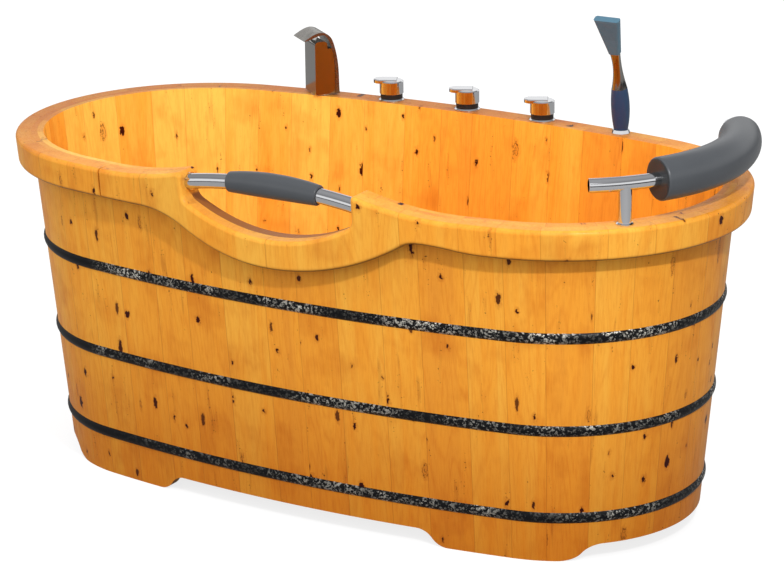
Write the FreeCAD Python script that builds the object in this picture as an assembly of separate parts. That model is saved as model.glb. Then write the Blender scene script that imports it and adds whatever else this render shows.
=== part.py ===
import FreeCAD
import Part
import math
import os

# Wooden soaking bathtub, built as a cooper builds a tub.
# Upright staves stand round an oval floor, three hoops bind them, and a glued band forms the rim.
# Frame in millimetres: +X runs to the headrest end, -Y is the front side with the entry dip, +Z is up.
# The origin lies on the ground under the middle of the oval.

# Oval wall, measured on its outer face at the rim
half_length = 765.0
half_width = 376.0
end_radius_share = 0.9069149
tub_height = 685.0
foot_inset = 63.0
wall_thickness = 25.0

# Staves, counted and shared out along each side and round each end
stave_width_shares = [0.95, 1.10, 0.90, 1.05, 1.15, 0.85, 1.00, 1.12, 0.93, 1.06, 0.89]

# Rim band outside the staves, flush with their top
rim_overhang = 33.0
rim_height = 60.0
rim_top_round = 8.0
rim_bottom_round = 9.0
glue_gap = 0.2
end_rim_pieces = 4
back_rim_pieces = 3

# Entry dip in the front wall
dip_centre = 3.0
dip_depth = 83.0
dip_width_share = 0.24967
dip_corner_depth = 17.2
dip_corner_round = 22.0
left_ear_height = 24.0
right_ear_height = 29.0
left_ear_round = 11.0
right_ear_round = 6.0
ramp_reach_share = 0.523
left_reach_share = 0.39216
right_reach_share = 0.4209
shoulder_height = 10.0
shoulder_reach_share = 0.6013
left_low_share = 0.65
right_low_share = 0.90

# Hoops
hoop_height_shares = [0.1343, 0.3985, 0.6745]
hoop_names = ["hoop_bottom", "hoop_middle", "hoop_top"]
hoop_width = 22.0
hoop_depth = 4.5

# Arched gaps between the four feet
foot_gap_height = 34.0
side_gap_share = 0.4418
end_gap_share = 0.6622
side_slope_run = 65.0
end_slope_run = 52.0

# Floor in its groove, and the cross bearers under it
floor_top = 105.0
floor_thickness = 30.0
groove_depth = 8.0
groove_clearance = 0.4
floor_board_count = 7
bearer_width = 60.0
bearer_height = 34.0
bearer_place_shares = [-0.66, 0.0, 0.66]
bearer_clearance = 0.5

# Drain in the middle board
drain_x = -300.0
drain_flange_radius = 35.0
drain_flange_thickness = 3.0
drain_tube_radius = 22.0
drain_bore_radius = 19.0
drain_ledge_radius = 15.0
drain_seat_depth = 14.0
drain_tube_length = 62.0
drain_hole_clearance = 0.4
washer_thickness = 3.0
washer_radius = 31.0
waste_nut_radius = 29.0
waste_nut_thickness = 11.0
tail_wall = 4.0
tail_radius = 20.0
tail_bore_radius = 16.0
tail_length = 24.0
plug_clearance = 0.25
plug_head_radius = 26.0
plug_head_thickness = 5.0
plug_knob_radius = 6.0
plug_knob_height = 12.0

# Line of the deck fittings along the top of the wall, outside the stave face
fitting_line = 3.0
middle_tap_x = 2.0
tap_pitch = 181.5
spout_to_tap = 164.0
shower_to_tap = 191.0

# Threaded shanks that hold the deck fittings from below
shank_radius = 8.0
shank_bore_radius = 5.0
shank_hole_clearance = 0.4
shank_stub = 8.0
lock_nut_radius = 11.0
lock_nut_thickness = 8.0
nut_pocket_clearance = 1.5

# Taps
tap_flange_radius = 27.0
tap_flange_height = 5.0
tap_collar_radius = 23.5
tap_collar_height = 9.0
tap_body_radius = 25.5
tap_body_height = 29.0
tap_spigot_radius = 12.0
tap_spindle_radius = 6.0
lever_thickness = 8.0
lever_rise = 3.5
lever_half_width = 17.0
lever_reach = 38.0
lever_back = 12.0
lever_heading = 207.0
running_gap = 0.3
spindle_clearance = 0.05
parting_width = 0.8

# Swivel spout with an arched hood
spout_turn = 38.0
spout_width = 68.0
spout_front = 27.0
spout_back = 27.0
spout_column_height = 99.0
spout_cap_height = 115.0
spout_hood_height = 135.0
spout_lip_height = 119.0
spout_reach = 52.0
spout_plate = 10.0
spout_inset = 1.5
spout_cap_share = 0.5
hood_outer_shares = [(-1.0, 0.0), (-0.92, 0.42), (-0.60, 0.78), (-0.22, 0.935), (0.25, 1.0), (0.62, 0.965)]
hood_inner_shares = [(0.62, 0.915), (0.33, 0.95), (0.10, 0.95), (-0.06, 0.89), (-0.36, 0.76), (-0.64, 0.42)]
spout_base_radius = 26.0
spout_base_height = 4.0

# Hand shower in its deck socket
socket_radius = 19.0
socket_height = 9.0
socket_bore_radius = 11.0
handset_pin_radius = 10.7
handset_pin_length = 7.0
grip_length = 88.0
grip_mid_share = 0.6
grip_foot_radius = 14.5
grip_mid_radius = 19.0
grip_top_radius = 16.0
neck_length = 80.0
neck_radius = 10.0
neck_flat_share = 0.9
head_length = 84.0
head_foot_width = 24.0
head_top_width = 56.0
head_thickness = 16.0
head_round = 5.0
spray_plate_thickness = 2.0
spray_plate_margin = 5.0
spray_start_share = 0.45
grip_tilt = 4.0
neck_tilt = 12.0
head_tilt = 26.0

# Grab bar across the dip
bar_radius = 15.0
bar_wall = 1.6
bar_end_height = 2.0
bar_rise = 15.0
bar_socket_depth = 24.0
bar_clearance = 0.3
collar_radius = 17.5
collar_length = 7.0
sleeve_half_length = 101.0
sleeve_shift = 5.0
sleeve_end_radius = 20.0
sleeve_mid_radius = 24.5
sleeve_clearance = 0.3

# Headrest over the rim at one end
rest_height = 78.0
rest_tube_radius = 13.5
rest_tube_wall = 1.6
rest_bar_near_angle = 53.5
rest_bar_far_angle = 45.0
rest_post_angle = 42.0
rest_roll_angle = 31.0
rest_roll_radius = 41.0
rest_roll_round = 5.0
rest_post_radius = 13.0
rest_flange_radius = 16.5
rest_flange_height = 5.0
rest_stud_radius = 7.0
rest_stud_length = 42.0

# Every cut runs past its piece by the same overrun; two tolerances tell edges and corners apart
overrun = 5.0
edge_match = 0.05
corner_match = 0.0000001

# Sizes that follow from the ones above
end_radius = half_width * end_radius_share
dip_half_width = half_length * dip_width_share
dip_side = dip_depth - dip_corner_depth
dip_floor_radius = ((dip_half_width - dip_corner_round) ** 2 + dip_side ** 2 - dip_corner_round ** 2) / (
    2.0 * (dip_side - dip_corner_round))
ramp_reach = half_length * ramp_reach_share
left_reach = half_length * left_reach_share
right_reach = half_length * right_reach_share
shoulder_reach = half_length * shoulder_reach_share
side_radius = ((half_length - end_radius) ** 2 + half_width ** 2 - end_radius ** 2) / (
    2.0 * (half_width - end_radius))
end_centre_x = half_length - end_radius
side_drop = side_radius - half_width
join_angle = math.degrees(math.atan2(side_drop, end_centre_x))
wall_lean = foot_inset / tub_height
rim_bottom = tub_height - rim_height
floor_bottom = floor_top - floor_thickness
floor_middle = floor_top - floor_thickness / 2.0
UP = FreeCAD.Vector(0, 0, 1)

ARCS = {
    "right": (FreeCAD.Vector(end_centre_x, 0, 0), end_radius, -join_angle, 2.0 * join_angle),
    "back": (FreeCAD.Vector(0, -side_drop, 0), side_radius, join_angle, 180.0 - 2.0 * join_angle),
    "left": (FreeCAD.Vector(-end_centre_x, 0, 0), end_radius, 180.0 - join_angle, 2.0 * join_angle),
    "front": (FreeCAD.Vector(0, side_drop, 0), side_radius, 180.0 + join_angle, 180.0 - 2.0 * join_angle),
}


def wall_shift(z):
    """How far the leaning wall has moved in at height z, against its place at the rim."""
    return -wall_lean * (tub_height - z)


def arc_wire(points):
    """A closed wire from a list of corners; an entry with two points is an arc's middle and end."""
    edges = []
    here = points[0]
    for step in points[1:] + [points[0]]:
        if isinstance(step, tuple):
            edges.append(Part.Arc(here, step[0], step[1]).toShape())
            here = step[1]
        elif here.distanceToPoint(step) > corner_match:
            edges.append(Part.LineSegment(here, step).toShape())
            here = step
    return Part.Wire(edges)


def plane_point(centre, angle, radius, z):
    """Point at a radius and height in the upright half plane through a centre."""
    turn = math.radians(angle)
    return FreeCAD.Vector(centre.x + radius * math.cos(turn), centre.y + radius * math.sin(turn), z)


def sector(centre, start, span, outline):
    """Solid made by turning an upright outline of (radius, height) about the axis through a centre."""
    def place(pair):
        return plane_point(centre, start, pair[0], pair[1])

    points = []
    for step in outline:
        if isinstance(step[0], tuple):
            points.append((place(step[0]), place(step[1])))
        else:
            points.append(place(step))
    face = Part.Face(arc_wire(points))
    return face.revolve(centre, UP, span)


def oval_wire(offset, z):
    """The oval at one height, moved out from the wall's top line by an offset."""
    edges = []
    for name in ("right", "back", "left", "front"):
        centre, radius, start, span = ARCS[name]
        ends = [plane_point(centre, start + span * share, radius + offset, z) for share in (0.0, 0.5, 1.0)]
        edges.append(Part.Arc(ends[0], ends[1], ends[2]).toShape())
    return Part.Wire(edges)


def oval_prism(offset, low, high):
    """Upright oval block between two heights."""
    return Part.Face(oval_wire(offset, low)).extrude(FreeCAD.Vector(0, 0, high - low))


def line_y(x, offset):
    """How far from the middle the oval, moved out by an offset, lies at a place along the tub."""
    join_x = math.sin(math.radians(90.0 - join_angle)) * (side_radius + offset)
    if abs(x) <= join_x:
        return math.sqrt((side_radius + offset) ** 2 - x * x) - side_drop
    return math.sqrt((end_radius + offset) ** 2 - (abs(x) - end_centre_x) ** 2)


def cylinder(x, y, low, high, radius):
    """Upright cylinder between two heights."""
    return Part.makeCylinder(radius, high - low, FreeCAD.Vector(x, y, low), UP)


def turned(x, y, outline):
    """Full turning about an upright axis from an outline of (radius, height)."""
    return sector(FreeCAD.Vector(x, y, 0), 0.0, math.degrees(math.tau), outline)


def box(low, high):
    """Block between its lowest and highest corners."""
    size = high - low
    return Part.makeBox(size.x, size.y, size.z, low)


def rounded(corners):
    """Closed outline from corners (across, height, radius); a radius above zero rounds its corner."""
    outline = []
    for index, (x, z, radius) in enumerate(corners):
        if radius == 0.0:
            outline.append((x, z))
            continue
        legs = []
        for other in (corners[index - 1], corners[(index + 1) % len(corners)]):
            length = math.hypot(other[0] - x, other[1] - z)
            legs.append(((other[0] - x) / length, (other[1] - z) / length))
        half = math.acos(legs[0][0] * legs[1][0] + legs[0][1] * legs[1][1]) / 2.0
        reach = radius / math.tan(half)
        gap = (radius / math.sin(half) - radius) / (2.0 * math.cos(half))
        start, end = [(x + leg[0] * reach, z + leg[1] * reach) for leg in legs]
        middle = (x + (legs[0][0] + legs[1][0]) * gap, z + (legs[0][1] + legs[1][1]) * gap)
        outline.append(start)
        outline.append((middle, end))
    return outline


def s_bend(x_start, z_start, x_end, z_end, share):
    """Two tangent arcs that leave and arrive level; share is the first arc's part of the run."""
    run = x_end - x_start
    rise = z_end - z_start
    x_turn = x_start + run * share
    z_turn = z_start + rise * share
    half = math.atan2(abs(rise), abs(run)) / 2.0

    def bulge(x_a, z_a, x_b, z_b, side):
        sag = math.hypot(x_b - x_a, z_b - z_a) / 2.0 * math.tan(half)
        length = math.hypot(x_b - x_a, z_b - z_a)
        normal_x = -(z_b - z_a) / length
        normal_z = (x_b - x_a) / length
        return ((x_a + x_b) / 2.0 + side * sag * normal_x, (z_a + z_b) / 2.0 + side * sag * normal_z)

    first_side = -1.0 if rise * run > 0 else 1.0
    return [(bulge(x_start, z_start, x_turn, z_turn, first_side), (x_turn, z_turn)),
            (bulge(x_turn, z_turn, x_end, z_end, -first_side), (x_end, z_end))]


def front_outline(points, y):
    """Upright outline of (x, height), with arcs as middle and end, in the plane at y."""
    placed = []
    for step in points:
        if isinstance(step[0], tuple):
            placed.append(tuple(FreeCAD.Vector(dip_centre + p[0], y, p[1]) for p in step))
        else:
            placed.append(FreeCAD.Vector(dip_centre + step[0], y, step[1]))
    return Part.Face(arc_wire(placed))


def ear_ramp(corner, height):
    """An ear beside the dip: middle and end of its ramp, and middle of its rounded corner."""
    hub_x = dip_half_width + corner
    hub_z = tub_height + height - corner
    turn = 2.0 * math.atan2(height, ramp_reach - hub_x)
    end = (hub_x + corner * math.sin(turn), hub_z + corner * math.cos(turn))
    ramp = (end[1] - tub_height) / (1.0 - math.cos(turn))
    bulge = (ramp_reach - ramp * math.sin(turn / 2.0), tub_height + ramp * (1.0 - math.cos(turn / 2.0)))
    half = (math.radians(90.0) - turn) / 2.0
    return bulge, end, (hub_x - corner * math.sin(half), hub_z + corner * math.cos(half))


def dip_top_line():
    """The rim's top line across the dip, left to right: ear, side, corner, floor and back up."""
    floor_z = tub_height - dip_depth
    arc_z = floor_z + dip_floor_radius
    corner_x = dip_half_width - dip_corner_round
    corner_z = arc_z - math.sqrt((dip_floor_radius - dip_corner_round) ** 2 - corner_x ** 2)
    scale = dip_floor_radius / (dip_floor_radius - dip_corner_round)
    low_x = corner_x * scale
    low_z = arc_z - (arc_z - corner_z) * scale
    heading = math.atan2(low_z - corner_z, low_x - corner_x) / 2.0
    mid_x = corner_x + dip_corner_round * math.cos(heading)
    mid_z = corner_z + dip_corner_round * math.sin(heading)
    left_top = tub_height + left_ear_height
    right_top = tub_height + right_ear_height
    bulge, end, corner = ear_ramp(left_ear_round, left_ear_height)
    line = [(-ramp_reach, tub_height), ((-bulge[0], bulge[1]), (-end[0], end[1]))]
    line.append(((-corner[0], corner[1]), (-dip_half_width, left_top - left_ear_round)))
    line.append((-dip_half_width, corner_z))
    line.append(((-mid_x, mid_z), (-low_x, low_z)))
    line.append(((0.0, floor_z), (low_x, low_z)))
    line.append(((mid_x, mid_z), (dip_half_width, corner_z)))
    bulge, end, corner = ear_ramp(right_ear_round, right_ear_height)
    line.append((dip_half_width, right_top - right_ear_round))
    line.append((corner, end))
    line.append((bulge, (ramp_reach, tub_height)))
    return line


def above_dip():
    """Everything over the rim's top line on the front side, to be cut away."""
    far = right_reach + half_length
    lid = tub_height + right_ear_height + overrun
    y = -half_width - rim_overhang - overrun
    outline = [(-far, tub_height)] + dip_top_line() + [(far, tub_height), (far, lid), (-far, lid)]
    return front_outline(outline, y).extrude(FreeCAD.Vector(0, -y, 0))


def dip_band():
    """The rim band between its lower and upper lines where it follows the dip."""
    low = rim_bottom - dip_depth
    y = -half_width - rim_overhang - overrun
    top = dip_top_line()
    down = [(half_length, tub_height), (half_length, rim_bottom), (shoulder_reach, rim_bottom)]
    down += s_bend(shoulder_reach, rim_bottom, right_reach, rim_bottom + shoulder_height, 0.5)
    down += s_bend(right_reach, rim_bottom + shoulder_height, 0.0, low, 1.0 - right_low_share)
    down += s_bend(0.0, low, -left_reach, rim_bottom, left_low_share)
    down.append((-ramp_reach, rim_bottom))
    return front_outline(top + down, y).extrude(FreeCAD.Vector(0, -y, 0))


def foot_gaps():
    """Gaps between the feet, with soft S-shaped ends, cut through the sides and the ends."""
    def outline(half_gap, slope_run):
        top_x = half_gap - slope_run
        line = [(-half_gap, -overrun), (-half_gap, 0.0)]
        line += s_bend(-half_gap, 0.0, -top_x, foot_gap_height, 0.5)
        line.append((top_x, foot_gap_height))
        line += s_bend(top_x, foot_gap_height, half_gap, 0.0, 0.5)
        line.append((half_gap, -overrun))
        return line

    side = []
    end = []
    side_gap = side_gap_share * half_length
    end_gap = end_gap_share * half_width
    for half_gap, run, wires, across in ((side_gap, side_slope_run, side, False),
                                         (end_gap, end_slope_run, end, True)):
        for step in outline(half_gap, run):
            pairs = step if isinstance(step[0], tuple) else (step,)
            if across:
                spots = tuple(FreeCAD.Vector(-half_length - overrun, p[0], p[1]) for p in pairs)
            else:
                spots = tuple(FreeCAD.Vector(p[0], -half_width - overrun, p[1]) for p in pairs)
            wires.append(spots if len(spots) == 2 else spots[0])
    through_side = FreeCAD.Vector(0, 2.0 * (half_width + overrun), 0)
    through_end = FreeCAD.Vector(2.0 * (half_length + overrun), 0, 0)
    return [Part.Face(arc_wire(side)).extrude(through_side), Part.Face(arc_wire(end)).extrude(through_end)]


def stave_outline(radius, top):
    """Upright section of a stave: leaning plank with the floor's groove in its inner face."""
    def outer(z):
        return radius + wall_shift(z)

    groove = outer(floor_middle) - wall_thickness + groove_depth
    return [(outer(0.0), 0.0), (outer(top), top), (outer(top) - wall_thickness, top),
            (outer(floor_top) - wall_thickness, floor_top), (groove, floor_top),
            (groove, floor_bottom), (outer(floor_bottom) - wall_thickness, floor_bottom),
            (outer(0.0) - wall_thickness, 0.0)]


def rim_outline(radius):
    """Upright section of the plain rim band, rounded at its outer edges and parallel to the wall."""
    inner = radius + glue_gap
    outer = radius + rim_overhang
    return rounded([
        (inner + wall_shift(rim_bottom), rim_bottom, 0.0), (inner, tub_height, 0.0),
        (outer, tub_height, rim_top_round), (outer + wall_shift(rim_bottom), rim_bottom, rim_bottom_round)])


def cut_all(shape, tools):
    """Cut away the tools that reach a shape."""
    reach = shape.BoundBox
    near = [tool for tool in tools if reach.intersect(tool.BoundBox)]
    return shape.cut(near) if near else shape


def only_solid(shape):
    """The largest solid of a cut shape."""
    return max(shape.Solids, key=lambda solid: solid.Volume)


def arch_ring(radius, wall, half_angle):
    """Round tube or rod bent along the grab bar's arch; a wall of zero gives a rod."""
    arch = (dip_half_width ** 2 + bar_rise ** 2) / (2.0 * bar_rise)
    top_z = tub_height + bar_end_height + bar_rise
    y = -line_y(dip_half_width, fitting_line)
    hub = FreeCAD.Vector(dip_centre, y, top_z - arch)
    start = FreeCAD.Vector(dip_centre, y, top_z)
    along = FreeCAD.Vector(1, 0, 0)
    face = Part.Face(Part.Wire(Part.makeCircle(radius, start, along)))
    if wall > 0.0:
        face = face.cut(Part.Face(Part.Wire(Part.makeCircle(radius - wall, start, along))))
    face.rotate(hub, FreeCAD.Vector(0, 1, 0), -half_angle)
    return face.revolve(hub, FreeCAD.Vector(0, 1, 0), 2.0 * half_angle)


def grab_bar_angle(distance):
    """Half angle of the grab bar's arch that reaches a distance from the dip's middle."""
    arch = (dip_half_width ** 2 + bar_rise ** 2) / (2.0 * bar_rise)
    return math.degrees(math.asin(distance / arch))


def end_ring(radius, wall, near_angle, far_angle):
    """Round tube or rod that follows the rim round the headrest end, from the front to the back."""
    hub = FreeCAD.Vector(end_centre_x, 0, tub_height + rest_height)
    start = hub + FreeCAD.Vector(end_radius + fitting_line, 0, 0)
    along = FreeCAD.Vector(0, 1, 0)
    face = Part.Face(Part.Wire(Part.makeCircle(radius, start, along)))
    if wall > 0.0:
        face = face.cut(Part.Face(Part.Wire(Part.makeCircle(radius - wall, start, along))))
    face.rotate(hub, UP, -near_angle)
    return face.revolve(hub, UP, near_angle + far_angle)


def post_spot(side):
    """Where a headrest post stands on the rim."""
    turn = math.radians(rest_post_angle * side)
    reach = end_radius + fitting_line
    return end_centre_x + reach * math.cos(turn), reach * math.sin(turn)


def deck_spots():
    """Places of the deck fittings along the back of the rim, by name."""
    places = {
        "spout": middle_tap_x - tap_pitch - spout_to_tap,
        "hot_tap": middle_tap_x - tap_pitch,
        "cold_tap": middle_tap_x,
        "diverter": middle_tap_x + tap_pitch,
        "shower": middle_tap_x + tap_pitch + shower_to_tap,
    }
    return {name: (x, line_y(x, fitting_line)) for name, x in places.items()}


SPOTS = deck_spots()
SHANK_END = rim_bottom - lock_nut_thickness - shank_stub
NUT_POCKET_RADIUS = lock_nut_radius + nut_pocket_clearance


def wood_holes():
    """Drilled holes for shanks, their nut pockets, the headrest studs and the grab bar's ends."""
    tools = []
    hole = shank_radius + shank_hole_clearance
    for x, y in SPOTS.values():
        tools.append(cylinder(x, y, SHANK_END - overrun, tub_height + overrun, hole))
        tools.append(cylinder(x, y, SHANK_END - overrun, rim_bottom, NUT_POCKET_RADIUS))
    for side in (-1, 1):
        x, y = post_spot(side)
        stud_end = tub_height - rest_stud_length - overrun
        tools.append(cylinder(x, y, stud_end, tub_height + overrun, rest_stud_radius + shank_hole_clearance))
    reach = grab_bar_angle(dip_half_width + bar_socket_depth + overrun)
    tools.append(arch_ring(bar_radius + bar_clearance, 0.0, reach))
    return tools


def make_staves(holes):
    """All staves, side by side round the oval, gathered into named lengths of wall."""
    gaps = foot_gaps()
    dip = above_dip()
    groups = {"back": [3, 5, 3], "front": [3, 5, 3], "left": [6, 5], "right": [6, 5]}
    names = {
        "front": ["front_left", "front_middle", "front_right"],
        "back": ["back_right", "back_middle", "back_left"],
        "left": ["left_end_back", "left_end_front"],
        "right": ["right_end_front", "right_end_back"],
    }
    total = sum(stave_width_shares)
    nodes = {}
    for side, (centre, radius, start, span) in ARCS.items():
        top = tub_height + (right_ear_height if side == "front" else 0.0)
        solids = []
        angle = start
        for share in stave_width_shares:
            step = span * share / total
            stave = sector(centre, angle, step, stave_outline(radius, top))
            tools = gaps + holes + ([dip] if side == "front" else [])
            solids.append(only_solid(cut_all(stave, tools)))
            angle += step
        first = 0
        for name, count in zip(names[side], groups[side]):
            nodes["staves_" + name] = solids[first:first + count]
            first += count
    return nodes


def make_rim(holes):
    """Rim band in glued lengths: plain ones round the ends and back, shaped ones along the dip."""
    nodes = {}
    counts = {"right": end_rim_pieces, "back": back_rim_pieces, "left": end_rim_pieces}
    for side, count in counts.items():
        centre, radius, start, span = ARCS[side]
        for index in range(count):
            piece = sector(centre, start + span * index / count, span / count, rim_outline(radius))
            nodes["rim_%s_%d" % (side, index + 1)] = [only_solid(cut_all(piece, holes))]
    centre, radius, start, span = ARCS["front"]
    left_span = 270.0 + math.degrees(math.asin((dip_centre - ramp_reach) / radius)) - start
    nodes["rim_front"] = [sector(centre, start, left_span, rim_outline(radius))]
    low = rim_bottom - dip_depth - overrun
    high = tub_height + right_ear_height + overrun
    foot = radius + wall_shift(low)
    head = radius + wall_shift(high)
    block = [(foot + glue_gap, low), (head + glue_gap, high), (head + rim_overhang, high),
             (foot + rim_overhang, low)]
    blank = sector(centre, start + left_span, span - left_span, block)
    band = only_solid(blank.common(dip_band()))
    band = round_outer_edges(band, centre, radius + rim_overhang)
    middle = 270.0 + math.degrees(math.asin(dip_centre / radius))
    far = 2.0 * half_width
    split = sector(centre, middle, span, [
        (0.0, low), (0.0, high), (radius + far, high), (radius + far, low)])
    nodes["rim_dip_left"] = [only_solid(cut_all(band.cut(split), holes))]
    nodes["rim_dip_right"] = [only_solid(cut_all(band.common(split), holes))]
    return nodes


def edge_spot(edge):
    """Point half way along an edge."""
    return edge.valueAt((edge.FirstParameter + edge.LastParameter) / 2.0)


def outer_edges(band, centre, outside):
    """The dip band's long outer edges, first those along its top and then those along its foot."""
    tops = []
    lows = []
    for edge in band.Edges:
        spots = edge.discretize(5)
        reach = [math.hypot(p.x - centre.x, p.y - centre.y) - wall_shift(p.z) - outside for p in spots]
        level = edge_spot(edge)
        turns = [math.atan2(p.y - centre.y, p.x - centre.x) for p in spots]
        if max(turns) - min(turns) < corner_match or max(abs(r) for r in reach) > edge_match:
            continue
        split_z = tub_height - rim_height / 2.0
        if abs(level.x - dip_centre) < dip_half_width + glue_gap:
            split_z = tub_height - dip_depth - rim_height / 4.0
        (tops if level.z > split_z else lows).append(edge)
    return tops, lows


def round_outer_edges(band, centre, outside):
    """Round the dip band's long outer edges, more on top than below."""
    tops, lows = outer_edges(band, centre, outside)
    marks = [edge_spot(edge) for edge in lows]
    band = band.makeFillet(rim_top_round, tops)
    again = [edge for edge in band.Edges
             if min(edge_spot(edge).distanceToPoint(mark) for mark in marks) < edge_match]
    return band.makeFillet(rim_bottom_round, again)


def make_hoops():
    """Three half-round hoops, each one closed ring."""
    nodes = {}
    for name, share in zip(hoop_names, hoop_height_shares):
        height = share * tub_height
        ring = None
        for centre, radius, start, span in ARCS.values():
            low = height - hoop_width / 2.0
            high = height + hoop_width / 2.0
            foot = radius + wall_shift(low) + glue_gap
            head = radius + wall_shift(high) + glue_gap
            peak = radius + wall_shift(height) + glue_gap + hoop_depth
            piece = sector(centre, start, span, [(foot, low), (head, high), ((peak, height), (foot, low))])
            ring = piece if ring is None else ring.fuse(piece)
        nodes[name] = [only_solid(ring.removeSplitter())]
    return nodes


def make_floor():
    """Floor boards that sit in the staves' groove, and the bearers that stiffen them."""
    reach = wall_shift(floor_middle) - wall_thickness + groove_depth - groove_clearance
    plate = oval_prism(reach, floor_bottom + groove_clearance, floor_top - groove_clearance)
    hole = drain_tube_radius + drain_hole_clearance
    plate = plate.cut(cylinder(drain_x, 0.0, floor_bottom - overrun, floor_top + overrun, hole))
    half = half_width + reach
    step = 2.0 * half / floor_board_count
    boards = []
    for index in range(floor_board_count):
        low = FreeCAD.Vector(-half_length, -half + step * index, 0)
        high = FreeCAD.Vector(half_length, -half + step * (index + 1), floor_top)
        boards.append(only_solid(plate.common(box(low, high))))
    under = floor_bottom + groove_clearance
    inner = wall_shift(under - bearer_height) - wall_thickness - bearer_clearance
    blank = oval_prism(inner, under - bearer_height, under)
    bearers = []
    for share in bearer_place_shares:
        middle = share * half_length
        low = FreeCAD.Vector(middle - bearer_width / 2.0, -half_width, 0)
        high = FreeCAD.Vector(middle + bearer_width / 2.0, half_width, floor_top)
        bearers.append(only_solid(blank.common(box(low, high))))
    return {"floor_boards": boards, "floor_bearers": bearers}


def make_drain():
    """Waste fitting in the floor: flange with its tube, plug, washer, nut and tail."""
    top = floor_top - groove_clearance
    bottom = floor_bottom + groove_clearance
    tube_end = top - drain_tube_length
    seat = top + drain_flange_thickness - drain_seat_depth
    flange = turned(drain_x, 0.0, [
        (drain_bore_radius, top + drain_flange_thickness), (drain_flange_radius - drain_flange_thickness,
                                                            top + drain_flange_thickness),
        (drain_flange_radius, top), (drain_tube_radius, top), (drain_tube_radius, tube_end),
        (drain_ledge_radius, tube_end), (drain_ledge_radius, seat), (drain_bore_radius, seat)])
    face = top + drain_flange_thickness
    plug = turned(drain_x, 0.0, [
        (0.0, seat), (drain_bore_radius - plug_clearance, seat), (drain_bore_radius - plug_clearance, face),
        (plug_head_radius, face), (plug_head_radius, face + plug_head_thickness / 2.0),
        (plug_knob_radius, face + plug_head_thickness),
        (plug_knob_radius, face + plug_head_thickness + plug_knob_height),
        (0.0, face + plug_head_thickness + plug_knob_height)])
    washer = turned(drain_x, 0.0, [
        (drain_tube_radius, bottom), (washer_radius, bottom), (washer_radius, bottom - washer_thickness),
        (drain_tube_radius, bottom - washer_thickness)])
    nut_top = bottom - washer_thickness
    nut_end = nut_top - waste_nut_thickness
    nut = Part.Face(Part.makePolygon([
        FreeCAD.Vector(drain_x + waste_nut_radius * math.cos(math.radians(60.0 * corner)),
                       waste_nut_radius * math.sin(math.radians(60.0 * corner)), nut_end)
        for corner in range(7)])).extrude(FreeCAD.Vector(0, 0, waste_nut_thickness))
    nut = nut.cut(cylinder(drain_x, 0.0, nut_end - overrun, nut_top + overrun, drain_tube_radius))
    cup = drain_tube_radius + tail_wall
    tail_end = tube_end - tail_length
    tail = turned(drain_x, 0.0, [
        (drain_tube_radius, nut_end), (cup, nut_end), (cup, tube_end),
        (tail_radius, tube_end - tail_wall), (tail_radius, tail_end),
        (tail_bore_radius, tail_end), (tail_bore_radius, tube_end), (drain_tube_radius, tube_end)])
    return {"drain_flange": [flange], "drain_plug": [plug], "waste_washer": [washer],
            "waste_nut": [nut], "waste_tail": [tail]}


def shank(x, y, top):
    """Hollow threaded shank from a fitting's underside down past its lock nut."""
    return cylinder(x, y, SHANK_END, top, shank_radius).cut(
        cylinder(x, y, SHANK_END - overrun, top - shank_radius, shank_bore_radius))


def make_lock_nuts():
    """Round nuts that pull the deck fittings down from under the rim."""
    nuts = []
    for x, y in SPOTS.values():
        nuts.append(turned(x, y, [(shank_radius, rim_bottom), (lock_nut_radius, rim_bottom),
                                  (lock_nut_radius, rim_bottom - lock_nut_thickness),
                                  (shank_radius, rim_bottom - lock_nut_thickness)]))
    return {"lock_nuts": nuts}


def tap_levels():
    """Heights of a tap's parts above the ground: flange top, handle foot and body top."""
    flange_top = tub_height + tap_flange_height
    foot = flange_top + tap_collar_height + running_gap
    return flange_top, foot, foot + tap_body_height


def tap_base(x, y):
    """Fixed part of a tap: flange on the wood, spigot above and shank below, bored for the spindle."""
    flange_top, foot, body_top = tap_levels()
    spigot_top = body_top - tap_body_height / 2.0
    edge = tap_flange_height / 2.0
    base = turned(x, y, [
        (0.0, tub_height), (tap_flange_radius, tub_height), (tap_flange_radius, tub_height + edge),
        (tap_flange_radius - edge, flange_top), (tap_spigot_radius, flange_top),
        (tap_spigot_radius, spigot_top), (0.0, spigot_top)])
    bore = cylinder(x, y, flange_top, spigot_top + overrun, tap_spindle_radius + spindle_clearance)
    return base.cut(bore).fuse(shank(x, y, tub_height)).removeSplitter()


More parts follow.
